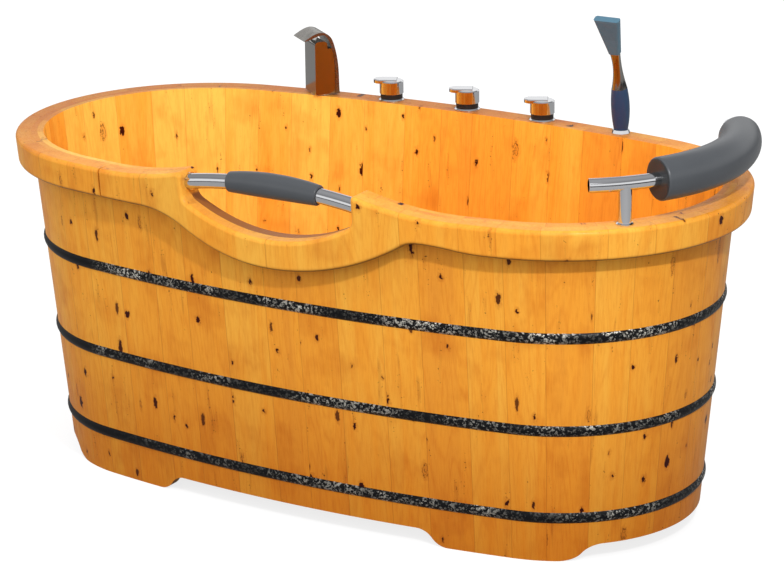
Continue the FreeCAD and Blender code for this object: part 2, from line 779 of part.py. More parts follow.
def tap_handle(x, y):
    """Turning handle: round body, flat lever plate on top that looks over the rim, fine parting line."""
    foot, body_top = tap_levels()[1:]
    lever_top = body_top + lever_rise
    lever_foot = lever_top - lever_thickness
    round_off = lever_thickness / 4.0
    shoulder = tap_body_radius - round_off
    body = turned(x, y, [
        (0.0, foot), (shoulder, foot), (tap_body_radius, foot + round_off),
        (tap_body_radius, body_top - round_off), (shoulder, body_top), (0.0, body_top)])
    tip = lever_reach - lever_half_width
    plate = Part.Face(arc_wire([
        FreeCAD.Vector(-lever_back, -lever_half_width, lever_foot),
        FreeCAD.Vector(tip, -lever_half_width, lever_foot),
        (FreeCAD.Vector(lever_reach, 0, lever_foot), FreeCAD.Vector(tip, lever_half_width, lever_foot)),
        FreeCAD.Vector(-lever_back, lever_half_width, lever_foot)]))
    plate = plate.extrude(FreeCAD.Vector(0, 0, lever_thickness))
    top_edges = [edge for edge in plate.Edges if edge.BoundBox.ZMin > lever_top - round_off]
    plate = plate.makeFillet(round_off, top_edges)
    plate.rotate(FreeCAD.Vector(0, 0, 0), UP, lever_heading)
    plate.translate(FreeCAD.Vector(x, y, 0))
    ring = cylinder(x, y, foot - overrun, body_top - tap_body_height / 2.0 + running_gap,
                    tap_spigot_radius + running_gap)
    pocket = cylinder(x, y, foot, body_top - lever_thickness / 2.0, tap_spindle_radius)
    line = box(FreeCAD.Vector(-lever_back - parting_width, -tap_body_radius - overrun, foot + round_off),
               FreeCAD.Vector(-lever_back, -tap_body_radius + parting_width, body_top - round_off))
    mirrored = line.mirror(FreeCAD.Vector(0, 0, 0), FreeCAD.Vector(0, 1, 0))
    tools = [ring, pocket]
    for groove in (line, mirrored):
        groove.rotate(FreeCAD.Vector(0, 0, 0), UP, lever_heading)
        groove.translate(FreeCAD.Vector(x, y, 0))
        tools.append(groove)
    return only_solid(body.fuse(plate).cut(tools).removeSplitter())


def tap_spindle(x, y):
    """Spindle that the handle turns, from the valve seat up into the handle."""
    flange_top, foot, body_top = tap_levels()
    return cylinder(x, y, flange_top + running_gap, body_top - lever_thickness / 2.0, tap_spindle_radius)


def make_taps():
    """Two quarter-turn taps and the shower diverter, alike on the deck."""
    flange_top = tap_levels()[0]
    collar_top = flange_top + tap_collar_height
    bases = []
    collars = []
    nodes = {}
    for name in ("hot_tap", "cold_tap", "diverter"):
        x, y = SPOTS[name]
        bases.append(tap_base(x, y))
        collars.append(turned(x, y, [
            (tap_spigot_radius, flange_top), (tap_collar_radius, flange_top),
            (tap_collar_radius, collar_top), (tap_spigot_radius, collar_top)]))
        nodes[name + "_handle"] = [tap_handle(x, y)]
        nodes[name + "_spindle"] = [tap_spindle(x, y)]
    nodes["tap_bases"] = bases
    nodes["tap_collars"] = collars
    return nodes


def make_spout():
    """Swivel spout: round base, column with a rounded weir, and an arched hood that ends in a lip."""
    x, y = SPOTS["spout"]
    foot = tub_height + spout_base_height
    base = turned(x, y, [
        (0.0, tub_height), (spout_base_radius, tub_height),
        (spout_base_radius, foot - running_gap), (0.0, foot - running_gap)])
    base = base.fuse(shank(x, y, tub_height)).removeSplitter()
    half = spout_width / 2.0
    back = -spout_back + spout_plate

    def spot(forward, height):
        return FreeCAD.Vector(-half, -forward, foot + height)

    weir_back = back + spout_cap_share * (spout_cap_height - spout_column_height) * 2.0
    weir_round = spout_cap_share * (spout_cap_height - spout_column_height)
    column = Part.Face(arc_wire([
        tuple(spot(*p) for p in step) if isinstance(step[0], tuple) else spot(*step)
        for step in rounded([
            (back, 0.0, 0.0), (spout_front, 0.0, 0.0), (spout_front, spout_cap_height, weir_round),
            (weir_back, spout_cap_height, weir_round), (weir_back, spout_column_height, 0.0),
            (back, spout_column_height, 0.0)])]))
    column = column.extrude(FreeCAD.Vector(spout_width - 2.0 * spout_inset, 0, 0))
    column.translate(FreeCAD.Vector(spout_inset, 0, 0))

    def hood_spots(shares):
        return [spot(f * (spout_reach if f > 0.0 else spout_back), h * spout_hood_height) for f, h in shares]

    lip = spot(spout_reach, spout_lip_height)
    outer = Part.BSplineCurve()
    outer.interpolate(hood_spots(hood_outer_shares) + [lip])
    inner = Part.BSplineCurve()
    inner.interpolate([lip] + hood_spots(hood_inner_shares) + [spot(back, 0.0)])
    closing = Part.LineSegment(spot(back, 0.0), spot(-spout_back, 0.0))
    profile = Part.Face(Part.Wire([outer.toShape(), inner.toShape(), closing.toShape()]))
    hood = profile.extrude(FreeCAD.Vector(spout_width, 0, 0))
    column = only_solid(column.cut(hood))
    for part in (column, hood):
        part.rotate(FreeCAD.Vector(0, 0, 0), UP, -spout_turn)
        part.translate(FreeCAD.Vector(x, y, 0))
    return {"spout_base": [base], "spout_column": [column], "spout_hood": [hood]}


def round_wire(centre, tilt, radius_x, radius_y):
    """Ellipse-like ring of four arcs across a leaning axis; the axis leans forward by the tilt."""
    points = []
    for corner in range(8):
        turn = math.radians(45.0 * corner)
        points.append(FreeCAD.Vector(radius_x * math.cos(turn), radius_y * math.sin(turn), 0))
    edges = []
    for corner in range(0, 8, 2):
        edges.append(Part.Arc(points[corner], points[corner + 1], points[(corner + 2) % 8]).toShape())
    wire = Part.Wire(edges)
    wire.rotate(FreeCAD.Vector(0, 0, 0), FreeCAD.Vector(1, 0, 0), tilt)
    wire.translate(centre)
    return wire


def slab_wire(centre, tilt, width, thickness, corner):
    """Rounded rectangle across the same leaning axis."""
    half_w = width / 2.0
    half_t = thickness / 2.0
    flat_w = half_w - corner
    flat_t = half_t - corner
    near = corner * math.sqrt(0.5)

    def arc(side_w, side_t, end):
        middle = FreeCAD.Vector(side_w * (flat_w + near), side_t * (flat_t + near), 0)
        return (middle, end)

    points = [FreeCAD.Vector(half_w, -flat_t, 0), FreeCAD.Vector(half_w, flat_t, 0)]
    points.append(arc(1.0, 1.0, FreeCAD.Vector(flat_w, half_t, 0)))
    points.append(FreeCAD.Vector(-flat_w, half_t, 0))
    points.append(arc(-1.0, 1.0, FreeCAD.Vector(-half_w, flat_t, 0)))
    points.append(FreeCAD.Vector(-half_w, -flat_t, 0))
    points.append(arc(-1.0, -1.0, FreeCAD.Vector(-flat_w, -half_t, 0)))
    points.append(FreeCAD.Vector(flat_w, -half_t, 0))
    points.append(arc(1.0, -1.0, FreeCAD.Vector(half_w, -flat_t, 0)))
    wire = arc_wire(points)
    wire.rotate(FreeCAD.Vector(0, 0, 0), FreeCAD.Vector(1, 0, 0), tilt)
    wire.translate(centre)
    return wire


def lean(start, length, tilt):
    """Next point along the handset's middle line, which leans forward over the tub."""
    turn = math.radians(tilt)
    return start + FreeCAD.Vector(0, -length * math.sin(turn), length * math.cos(turn))


def make_shower():
    """Hand shower that stands in a deck socket: grip, neck, flat fan-shaped head and spray plate."""
    x, y = SPOTS["shower"]
    top = tub_height + socket_height
    edge = socket_height / 4.0
    socket = turned(x, y, [
        (0.0, tub_height), (socket_radius, tub_height), (socket_radius, tub_height + edge),
        (socket_radius - edge, top), (socket_bore_radius, top),
        (socket_bore_radius, top - handset_pin_length - running_gap),
        (0.0, top - handset_pin_length - running_gap)])
    socket = socket.fuse(shank(x, y, tub_height)).removeSplitter()
    foot = FreeCAD.Vector(x, y, top + running_gap)
    middle = lean(foot, grip_length * grip_mid_share, grip_tilt)
    grip_end = lean(middle, grip_length * (1.0 - grip_mid_share), (grip_tilt + neck_tilt) / 2.0)
    grip = Part.makeLoft([
        round_wire(foot, 0.0, grip_foot_radius, grip_foot_radius),
        round_wire(middle, grip_tilt, grip_mid_radius, grip_mid_radius),
        round_wire(grip_end, neck_tilt, grip_top_radius, grip_top_radius)], True)
    pin = cylinder(x, y, foot.z - handset_pin_length, foot.z, handset_pin_radius)
    neck_middle = lean(grip_end, neck_length / 2.0, neck_tilt)
    neck_end = lean(neck_middle, neck_length / 2.0, (neck_tilt + head_tilt) / 2.0)
    neck = Part.makeLoft([
        round_wire(grip_end, neck_tilt, grip_top_radius, grip_top_radius),
        round_wire(neck_middle, neck_tilt, neck_radius, neck_radius * neck_flat_share),
        round_wire(neck_end, head_tilt, head_foot_width / 2.0, head_thickness / 2.0)], True)
    head_end = lean(neck_end, head_length, head_tilt)
    head = Part.makeLoft([
        slab_wire(neck_end, head_tilt, head_foot_width, head_thickness, head_round),
        slab_wire(head_end, head_tilt, head_top_width, head_thickness, head_round)], True, True)
    forward = FreeCAD.Vector(0, -math.cos(math.radians(head_tilt)), -math.sin(math.radians(head_tilt)))
    face_shift = forward * (head_thickness / 2.0 - spray_plate_thickness / 2.0)
    low = lean(neck_end, head_length * spray_start_share, head_tilt) + face_shift
    high = lean(neck_end, head_length - spray_plate_margin, head_tilt) + face_shift
    low_width = head_foot_width + (head_top_width - head_foot_width) * spray_start_share
    low_width -= 2.0 * spray_plate_margin
    high_width = head_top_width - 2.0 * spray_plate_margin
    edge = spray_plate_thickness / 4.0
    plate = Part.makeLoft([
        slab_wire(low, head_tilt, low_width, spray_plate_thickness, edge),
        slab_wire(high, head_tilt, high_width, spray_plate_thickness, edge)], True, True)
    head = head.cut(plate)
    return {"shower_socket": [socket], "shower_grip": [grip.fuse(pin).removeSplitter()],
            "shower_neck": [neck], "shower_head": [only_solid(head)], "shower_spray_plate": [plate]}


def make_grab_bar():
    """Arched grab bar across the dip, let into both ears, with a foam sleeve and end collars."""
    bar = arch_ring(bar_radius, bar_wall, grab_bar_angle(dip_half_width + bar_socket_depth))
    inner = grab_bar_angle(dip_half_width - collar_length)
    outer = grab_bar_angle(dip_half_width)
    collars = []
    core = arch_ring(bar_radius, 0.0, outer + inner)
    shell = arch_ring(collar_radius, 0.0, outer).cut(arch_ring(collar_radius + overrun, 0.0, inner))
    reach = FreeCAD.Vector(dip_half_width - glue_gap, half_width, tub_height)
    side = FreeCAD.Vector(dip_centre, 0, tub_height)
    shell = shell.common(box(side - reach, side + reach))
    for piece in shell.Solids:
        collars.append(only_solid(piece.cut(core)))
    arch = (dip_half_width ** 2 + bar_rise ** 2) / (2.0 * bar_rise)
    top = FreeCAD.Vector(dip_centre, -line_y(dip_half_width, fitting_line),
                         tub_height + bar_end_height + bar_rise)
    hub = top - FreeCAD.Vector(0, 0, arch)
    rings = []
    reach = grab_bar_angle(sleeve_half_length)
    shift = grab_bar_angle(sleeve_shift)
    for share in (-1.0, -0.5, 0.0, 0.5, 1.0):
        radius = sleeve_mid_radius - (sleeve_mid_radius - sleeve_end_radius) * share * share
        ring = round_wire(FreeCAD.Vector(0, 0, 0), 0.0, radius, radius)
        ring.rotate(FreeCAD.Vector(0, 0, 0), FreeCAD.Vector(0, 1, 0), 90.0)
        ring.translate(top)
        ring.rotate(hub, FreeCAD.Vector(0, 1, 0), reach * share + shift)
        rings.append(ring)
    sleeve = Part.makeLoft(rings, True)
    sleeve = sleeve.cut(arch_ring(bar_radius + sleeve_clearance, 0.0, 2.0 * reach))
    return {"grab_bar": [bar], "grab_bar_collars": collars, "grab_bar_sleeve": [only_solid(sleeve)]}


def make_headrest():
    """Foam roll on a bent tube that two posts carry over the rim."""
    span = (rest_bar_near_angle, rest_bar_far_angle)
    bar = end_ring(rest_tube_radius, rest_tube_wall, *span)
    roll = end_ring(rest_roll_radius, 0.0, rest_roll_angle, rest_roll_angle)
    caps = [edge for edge in roll.Edges if abs(edge.Length - 2.0 * math.pi * rest_roll_radius) < edge_match]
    roll = roll.makeFillet(rest_roll_round, caps)
    roll = roll.cut(end_ring(rest_tube_radius + sleeve_clearance, 0.0, *span))
    saddle = end_ring(rest_tube_radius, 0.0, *span)
    posts = []
    flanges = []
    for side in (-1, 1):
        x, y = post_spot(side)
        top = tub_height + rest_height
        post = cylinder(x, y, tub_height, top, rest_post_radius).cut(saddle)
        stud = cylinder(x, y, tub_height - rest_stud_length, tub_height, rest_stud_radius)
        posts.append(only_solid(post.fuse(stud).removeSplitter()))
        edge = rest_flange_height / 2.0
        flanges.append(turned(x, y, [
            (rest_post_radius, tub_height), (rest_flange_radius, tub_height),
            (rest_flange_radius, tub_height + edge),
            (rest_flange_radius - edge, tub_height + rest_flange_height),
            (rest_post_radius, tub_height + rest_flange_height)]))
    return {"headrest_bar": [bar], "headrest_roll": [only_solid(roll)], "headrest_posts": posts,
            "headrest_flanges": flanges}


def main():
    """Build every piece and write one file per node."""
    holes = wood_holes()
    nodes = {}
    nodes.update(make_staves(holes))
    nodes.update(make_rim(holes))
    nodes.update(make_hoops())
    nodes.update(make_floor())
    nodes.update(make_drain())
    nodes.update(make_lock_nuts())
    nodes.update(make_taps())
    nodes.update(make_spout())
    nodes.update(make_shower())
    nodes.update(make_grab_bar())
    nodes.update(make_headrest())
    os.makedirs("parts", exist_ok=True)
    for name, solids in nodes.items():
        shape = solids[0] if len(solids) == 1 else Part.makeCompound(solids)
        if not shape.isValid():
            print("not valid:", name)
        shape.exportStep(os.path.join("parts", name + ".step"))
        print(name, len(solids), round(sum(solid.Volume for solid in solids) / 1000.0, 1))


main()
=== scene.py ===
import math

import bmesh
import bpy
from mathutils import Matrix, Vector


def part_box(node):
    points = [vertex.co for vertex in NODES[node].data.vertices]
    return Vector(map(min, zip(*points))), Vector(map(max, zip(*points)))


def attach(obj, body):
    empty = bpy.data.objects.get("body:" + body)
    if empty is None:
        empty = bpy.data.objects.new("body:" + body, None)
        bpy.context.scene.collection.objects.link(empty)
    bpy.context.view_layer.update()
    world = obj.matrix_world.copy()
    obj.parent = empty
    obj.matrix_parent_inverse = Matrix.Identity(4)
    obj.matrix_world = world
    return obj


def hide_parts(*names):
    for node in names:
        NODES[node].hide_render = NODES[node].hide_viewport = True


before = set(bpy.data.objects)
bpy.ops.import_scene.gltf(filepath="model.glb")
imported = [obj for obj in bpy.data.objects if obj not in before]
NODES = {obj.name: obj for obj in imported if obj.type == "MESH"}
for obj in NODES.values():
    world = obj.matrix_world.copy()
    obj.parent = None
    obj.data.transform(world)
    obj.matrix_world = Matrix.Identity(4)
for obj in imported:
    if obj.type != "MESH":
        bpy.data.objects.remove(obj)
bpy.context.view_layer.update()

bl_info = {
    "name": "Coopered Wooden Bathtub",
    "version": (1, 0, 0),
    "blender": (4, 5, 0),
    "location": "View3D > Sidebar > Bathtub",
    "description": "Finishes, soft pieces and studio for an oval coopered bathtub",
    "category": "Object",
}

# The oval is four arcs. For each: turn of its middle direction, distance of its centre from the
# origin against that direction, radius of the wall's outer face at the rim and the angle it spans.
ARCS = {
    "right": (0.0, -0.424, 0.341, math.radians(161.124)),
    "back": (90.0, 2.55073, 2.92673, math.radians(18.8756)),
    "left": (180.0, -0.424, 0.341, math.radians(161.124)),
    "front": (270.0, 2.55073, 2.92673, math.radians(18.8756)),
}
STAVE_SHARES = [0.95, 1.10, 0.90, 1.05, 1.15, 0.85, 1.00, 1.12, 0.93, 1.06, 0.89]
# The joints of the rim's lengths, as shares of their arc
RIM_SEAMS = {
    "front": [0.0, 0.075, 0.20, 0.502, 0.803, 0.925, 1.0],
    "back": [0.0, 0.09, 0.21, 0.30, 0.42, 0.53, 0.66, 0.74, 0.86, 1.0],
    "left": [0.0, 0.10, 0.19, 0.31, 0.40, 0.52, 0.60, 0.71, 0.83, 0.91, 1.0],
    "right": [0.0, 0.08, 0.20, 0.29, 0.41, 0.50, 0.62, 0.70, 0.82, 0.90, 1.0],
}
FLOOR_BOARDS = 7
WALL_LEAN = 0.091971
HALF_WALL = 0.0125
RIM_Z = 0.685

# The grab bar's arch: half its span between the ears, its rise, and its ends' height over the rim
BAR_HALF_SPAN = 0.191
BAR_RISE = 0.015
BAR_END_HEIGHT = 0.002
# The roll's end faces, which carry painted shade, reach this far along it, as an angle round the
# headrest end's middle
END_FACE_ANGLE = 0.0035
ROLL_SIDES, ROLL_STEPS = 64, 60
SLEEVE_SIDES, SLEEVE_STEPS = 48, 24
SLEEVE_ROUND = 0.0025
SAME_PLACE = 0.00001

# Places of a Mix node's inputs, and of its mixed colour among its outputs
FACTOR, NUMBER_A, NUMBER_B, COLOUR_A, COLOUR_B = 0, 2, 3, 6, 7
MIXED_COLOUR = 2

# Noise in the pine, drawn out along the grain: repeats per metre across and along it, detail, roughness
GRAIN = {
    "ring": (17.0, 1.15, 1.5, 0.4),      # about 60 by 870 mm, the slow bends of the growth rings
    "fibre": (330.0, 7.0, 3.0, 0.6),     # about 3 by 140 mm, coarser than life so that it shows
    "streak": (34.0, 1.6, 2.0, 0.5),     # about 30 by 600 mm
    "resin": (60.0, 4.5, 2.5, 0.55),     # about 17 by 220 mm
}
# Repeats per metre of the even noise in the materials
KNOT_EDGE = 150.0       # 7 mm, the wobble of a knot's outline
RESIN_SPECK = 260.0     # 4 mm, specks in a resin streak
STAIN_CLOUD = 9.0       # 110 mm, uneven stain
SCALE_CHIP = 430.0      # 2 mm, chips of black scale off the iron
HAMMER_RUN = 7.0        # 140 mm, stretches of a hoop that are hammered more
FOAM_PORE = 900.0       # 1 mm, pores in the foam's skin
FOAM_CLOUD = 14.0       # 70 mm, uneven tone of the foam
# Cells that hold one knot at most, per metre: about 80 mm across the grain by 125 mm along it
KNOT_CELLS = (12.5, 0.0, 8.0)
BOARD_SHIFT = 17.0      # moves each board to its own part of the figure, in metres

# A glue line fades out this far to each side, in the wall and in the floor
WALL_SEAM, FLOOR_SEAM = 0.0011, 0.0012
# Clear varnish, brushed thin: a low, soft gloss
VARNISH = {"IOR": 1.5, "Specular IOR Level": 0.12, "Coat Weight": 0.03, "Coat Roughness": 0.14}
WOOD_RELIEF = {"Strength": 0.22, "Distance": 0.0006}

# Seeds of the boards' chances: for the staves and the rim, and what each arc, the inner faces and each
# strip of a board add to them
STAVE_SEED, RIM_SEED, ARC_SEED, INNER_SEED, STRIP_SEED = 3.7, 57.3, 101.0, 41.0, 7.31
# Darkest and palest board, on the scale from dark, 0, to light, 1
STAVE_TONES = (0.22, 0.58)
RIM_TONES = (0.30, 0.66)
# The front rim's darkest boards are a little paler than the other arcs': painted light
FRONT_RIM_LIT_TONES = (0.34, 0.66)
FLOOR_TONES = (0.3, 0.7)
FLOOR_KNOTS = 0.3
# Level faces between these heights are cut stave ends in the dip
CUT_ABOVE, CUT_BELOW = 0.55, 0.675

# Camera, fitted to the photograph: its place and the directions of its right and its upper side
CAMERA_PLACE = (3.13665, -5.12425, 2.28725)
CAMERA_RIGHT = (0.85772452, 0.51398843, -0.01115975)
CAMERA_UP = (-0.14548887, 0.26349156, 0.95362738)
# Key lamp at the front right, and the direction that the even light is strongest from
LAMP_PLACE = (2.33, -2.10, 3.0)
LAMP_AIM = (0.0, 0.0, 0.5)
FILL_FROM = (-0.30, -0.60, 0.74)
FLOOR_REACH = 9.0
FLOOR_IN_METAL = 0.15   # share of the floor's white that bright work mirrors
# Grey of the room that bright work mirrors, by height: dark horizon, white walls, grey ceiling
HORIZON, CEILING = (0.05, 0.05, 0.055, 1.0), (0.45, 0.45, 0.46, 1.0)
ROOM_TONES = ((0.05, 0.30), (0.12, 1.0), (0.42, 1.0), (0.56, 0.24))
WHITE = (1.0, 1.0, 1.0, 1.0)


def linear(code):
    """An sRGB hex colour as linear RGBA."""
    parts = [int(code[i:i + 2], 16) / 255.0 for i in (1, 3, 5)]
    return tuple(c / 12.92 if c <= 0.04045 else ((c + 0.055) / 1.055) ** 2.4 for c in parts) + (1.0,)


def colour(name, code, text):
    """A colour property for the sidebar, its default given in sRGB hex."""
    return bpy.props.FloatVectorProperty(
        name=name, description=text, subtype="COLOR", size=4, min=0.0, max=1.0, default=linear(code))


def length(name, default, text):
    """A length property for the sidebar, in metres."""
    return bpy.props.FloatProperty(
        name=name, description=text, default=default, min=0.0, unit="LENGTH", precision=4)


def share(name, default, text):
    """A plain number from 0 to 1 for the sidebar."""
    return bpy.props.FloatProperty(name=name, description=text, default=default, min=0.0, max=1.0,
                                   subtype="FACTOR")


def darker(colour, part):
    """A linear colour brought down to a part of itself."""
    return tuple(value * part for value in colour[:3]) + (1.0,)


def add(tree, kind, settings=None, links=None):
    """Add one node, with its settings (properties or socket values) and its incoming links.

    A socket is given by its name or by its place among the node's inputs. A link comes from a
    socket, or from a node, which stands for its first output.
    """
    node = tree.nodes.new("ShaderNode" + kind)
    for key, value in (settings or {}).items():
        if isinstance(key, str) and hasattr(node, key):
            setattr(node, key, value)
        else:
            node.inputs[key].default_value = value
    for key, source in (links or {}).items():
        socket = source if isinstance(source, bpy.types.NodeSocket) else source.outputs[0]
        tree.links.new(socket, node.inputs[key])
    return node


def new_material(name):
    """An empty node material and its tree."""
    material = bpy.data.materials.new(name)
    material.use_nodes = True
    material.node_tree.nodes.clear()
    return material, material.node_tree


def finish_shader(tree, shader):
    """Join a shader to the material's output."""
    add(tree, "OutputMaterial", {}, {"Surface": shader})


def dress(nodes, material):
    """Give CAD nodes or pieces one material."""
    for item in nodes:
        piece = NODES[item] if isinstance(item, str) else item
        piece.data.materials.clear()
        piece.data.materials.append(material)


def settled(bm, name):
    """A closed bmesh made into an object at the origin, its faces turned outwards."""
    bmesh.ops.remove_doubles(bm, verts=bm.verts, dist=SAME_PLACE)
    bmesh.ops.recalc_face_normals(bm, faces=bm.faces)
    mesh = bpy.data.meshes.new(name)
    bm.to_mesh(mesh)
    bm.free()
    mesh.shade_smooth()
    piece = bpy.data.objects.new(name, mesh)
    bpy.context.scene.collection.objects.link(piece)
    return piece


def pine_grain():
    """Node group for planed, varnished pine.

    Place is in metres with Z along the grain. Board is a random vector for each board, so that no
    two boards share their figure. It gives growth rings, fibre, broad streaks and knots.
    """
    wood = bpy.context.scene.bathtub_wood
    tree = bpy.data.node_groups.new("Planed pine figure", "ShaderNodeTree")
    face = tree.interface
    for side, kind, names in (
            ("INPUT", "NodeSocketVector", ("Place", "Board")),
            ("INPUT", "NodeSocketFloat", ("Tone", "Seam", "Knots")),
            ("OUTPUT", "NodeSocketColor", ("Color",)),
            ("OUTPUT", "NodeSocketFloat", ("Roughness", "Height"))):
        for name in names:
            face.new_socket(name, in_out=side, socket_type=kind)
    group = tree.nodes.new("NodeGroupInput").outputs
    far = add(tree, "VectorMath", {"operation": "SCALE", 3: BOARD_SHIFT}, {0: group["Board"]})
    spot = add(tree, "VectorMath", {"operation": "ADD"}, {0: group["Place"], 1: far})
    noise = {}
    for name, (across, along, detail, rough) in GRAIN.items():
        drawn = add(tree, "VectorMath", {"operation": "MULTIPLY", 1: (across, across, along)},
                    {0: spot})
        noise[name] = add(tree, "TexNoise", {"Scale": 1.0, "Detail": detail, "Roughness": rough},
                          {"Vector": drawn})

    # Knots: most of them small, 3 to 20 mm across, ragged and often drawn out along the grain
    cells = add(tree, "VectorMath", {"operation": "MULTIPLY", 1: KNOT_CELLS}, {0: spot})
    laid = add(tree, "Mapping", {"Rotation": (math.pi / 2.0, 0.0, 0.0)}, {0: cells})
    knots = add(tree, "TexVoronoi", {"voronoi_dimensions": "2D", "Scale": 1.0}, {"Vector": laid})
    offset = add(tree, "VectorMath", {"operation": "SUBTRACT"}, {0: laid, 1: knots.outputs["Position"]})
    wobble = add(tree, "TexNoise", {"Scale": KNOT_EDGE, "Detail": 3.0}, {"Vector": spot})
    crooked = add(tree, "VectorMath",
                  {"operation": "MULTIPLY_ADD", 1: (0.016, 0.012, 0.0), 2: (-0.008, -0.006, 0.0)},
                  {0: wobble.outputs["Color"]})
    chance = add(tree, "SeparateColor", {}, {0: knots.outputs["Color"]})
    more = add(tree, "TexWhiteNoise", {"noise_dimensions": "3D"}, {"Vector": knots.outputs["Position"]})
    # Metres from a knot's middle, stretched so that some knots are narrow and some are tall
    thin = add(tree, "MapRange", {"From Min": 0.0, "From Max": 1.0, "To Min": 0.080, "To Max": 0.16},
               {"Value": chance.outputs[1]})
    tall = add(tree, "MapRange", {"From Min": 0.0, "From Max": 1.0, "To Min": 0.13, "To Max": 0.055},
               {"Value": chance.outputs[2]})
    shape = add(tree, "CombineXYZ", {}, {0: thin, 1: tall})
    real = add(tree, "VectorMath", {"operation": "MULTIPLY"}, {0: offset, 1: shape})
    bent = add(tree, "VectorMath", {"operation": "ADD"}, {0: real, 1: crooked})
    reach = add(tree, "VectorMath", {"operation": "LENGTH"}, {0: bent})
    ragged = add(tree, "Math", {"operation": "MULTIPLY_ADD", 1: 0.006, 2: -0.003}, {0: wobble})
    away = add(tree, "Math", {"operation": "ADD"}, {0: reach.outputs["Value"], 1: ragged})
    need = add(tree, "Math", {"operation": "SUBTRACT", 0: 1.0}, {1: group["Knots"]})
    over = add(tree, "Math", {"operation": "SUBTRACT"}, {0: chance, 1: need})
    there = add(tree, "Math", {"operation": "GREATER_THAN", 1: 0.0}, {0: over})
    big = add(tree, "Math", {"operation": "POWER", 1: 2.2}, {0: more.outputs["Value"]})
    radius = add(tree, "MapRange", {"To Min": 0.0029, "To Max": 0.0105}, {"Value": big})
    inside = add(tree, "Math", {"operation": "SUBTRACT"}, {0: radius, 1: away})
    solid = add(tree, "MapRange", {"From Min": -0.0003, "From Max": 0.0006}, {"Value": inside})
    # One knot in eight has dropped its heart and shows only a dark ring
    rim = add(tree, "Math", {"operation": "PINGPONG", 1: 0.0026}, {0: inside})
    ring = add(tree, "MapRange", {"From Min": 0.0, "From Max": 0.0009, "To Min": 1.0, "To Max": 0.0},
               {"Value": rim})
    near = add(tree, "Math", {"operation": "GREATER_THAN", 1: -0.0030}, {0: inside})
    ring_near = add(tree, "Math", {"operation": "MULTIPLY"}, {0: ring, 1: near})
    hollow = add(tree, "Math", {"operation": "GREATER_THAN", 1: 0.88}, {0: chance.outputs[2]})
    core = add(tree, "Mix", {}, {FACTOR: hollow, NUMBER_A: solid, NUMBER_B: ring_near})
    sound = add(tree, "MapRange", {"From Min": 0.55, "From Max": 0.9, "To Min": 1.0, "To Max": 0.85},
                {"Value": chance.outputs[1]})
    shown = add(tree, "Math", {"operation": "MULTIPLY"}, {0: there, 1: sound})
    core_on = add(tree, "Math", {"operation": "MULTIPLY"}, {0: core, 1: shown})
    halo = add(tree, "MapRange",
               {"From Min": -0.007, "From Max": 0.0, "interpolation_type": "SMOOTHSTEP"},
               {"Value": inside})
    halo_on = add(tree, "Math", {"operation": "MULTIPLY"}, {0: halo, 1: there})

    # Growth rings: contours of the slow noise, which bend round knots
    rings = add(tree, "Math", {"operation": "MULTIPLY", 1: 11.0}, {0: noise["ring"]})
    round_knots = add(tree, "Math", {"operation": "MULTIPLY_ADD", 1: 1.4}, {0: halo_on, 2: rings})
    wave = add(tree, "Math", {"operation": "PINGPONG", 1: 0.5}, {0: round_knots})
    late = add(tree, "MapRange", {"From Min": 0.0, "From Max": 0.22, "To Min": 1.0, "To Max": 0.0,
                                  "interpolation_type": "SMOOTHSTEP"}, {"Value": wave})

    # Resin: rare, narrow brown streaks along the grain, with dark specks in them
    resin = add(tree, "MapRange", {"From Min": 0.64, "From Max": 0.74}, {"Value": noise["resin"]})
    trail = add(tree, "MapRange", {"From Min": 0.60, "From Max": 0.66}, {"Value": noise["resin"]})
    speck = add(tree, "TexNoise", {"Scale": RESIN_SPECK, "Detail": 2.0}, {"Vector": spot})
    speck_on = add(tree, "MapRange", {"From Min": 0.66, "From Max": 0.70}, {"Value": speck})
    specks = add(tree, "Math", {"operation": "MULTIPLY"}, {0: trail, 1: speck_on})
    dark_spots = add(tree, "Math", {"operation": "MAXIMUM"}, {0: core_on, 1: specks})

    # The board's own tone, from dark to light, with broad streaks
    mottle = add(tree, "Math", {"operation": "MULTIPLY_ADD", 1: 0.7, 2: -0.35}, {0: noise["streak"]})
    level = add(tree, "Math", {"operation": "ADD", "use_clamp": True}, {0: group["Tone"], 1: mottle})
    base = add(tree, "ValToRGB", {}, {0: level})
    ramp = base.color_ramp
    ramp.elements[0].color = wood.dark
    ramp.elements[1].color = wood.light
    ramp.elements.new(0.5).color = wood.middle

    # Laid over it one after another: late wood, fibre, resin, stain, the halo of a knot, knots, seams
    fibre_on = add(tree, "MapRange", {"From Min": 0.45, "From Max": 0.75, "To Max": 0.32},
                   {"Value": noise["fibre"]})
    cloud = add(tree, "TexNoise", {"Scale": STAIN_CLOUD, "Detail": 3.0, "Roughness": 0.55},
                {"Vector": spot})
    cloud_on = add(tree, "MapRange", {"From Min": 0.52, "From Max": 0.72, "To Max": 0.42},
                   {"Value": cloud})
    part = {}
    for name, most, field in (("late", 0.15, late), ("resin", 0.35, resin),
                              ("halo", 0.4, halo_on), ("seam", 0.38, group["Seam"])):
        part[name] = add(tree, "Math", {"operation": "MULTIPLY", 1: most}, {0: field})
    under = base
    for blend, paint, amount in (
            ("MULTIPLY", linear("#DCA058"), part["late"]),
            ("MULTIPLY", linear("#E0B070"), fibre_on),
            ("MIX", wood.resin, part["resin"]),
            ("MULTIPLY", linear("#D2A266"), cloud_on),
            ("MIX", linear("#B8651F"), part["halo"]),
            ("MIX", wood.knot, dark_spots),
            ("MIX", wood.seam, part["seam"])):
        under = add(tree, "Mix", {"data_type": "RGBA", "blend_type": blend, COLOUR_B: paint},
                    {FACTOR: amount, COLOUR_A: under}).outputs[MIXED_COLOUR]

    rough = add(tree, "MapRange", {"From Min": 0.3, "From Max": 0.7, "To Min": 0.30, "To Max": 0.46},
                {"Value": noise["fibre"]})
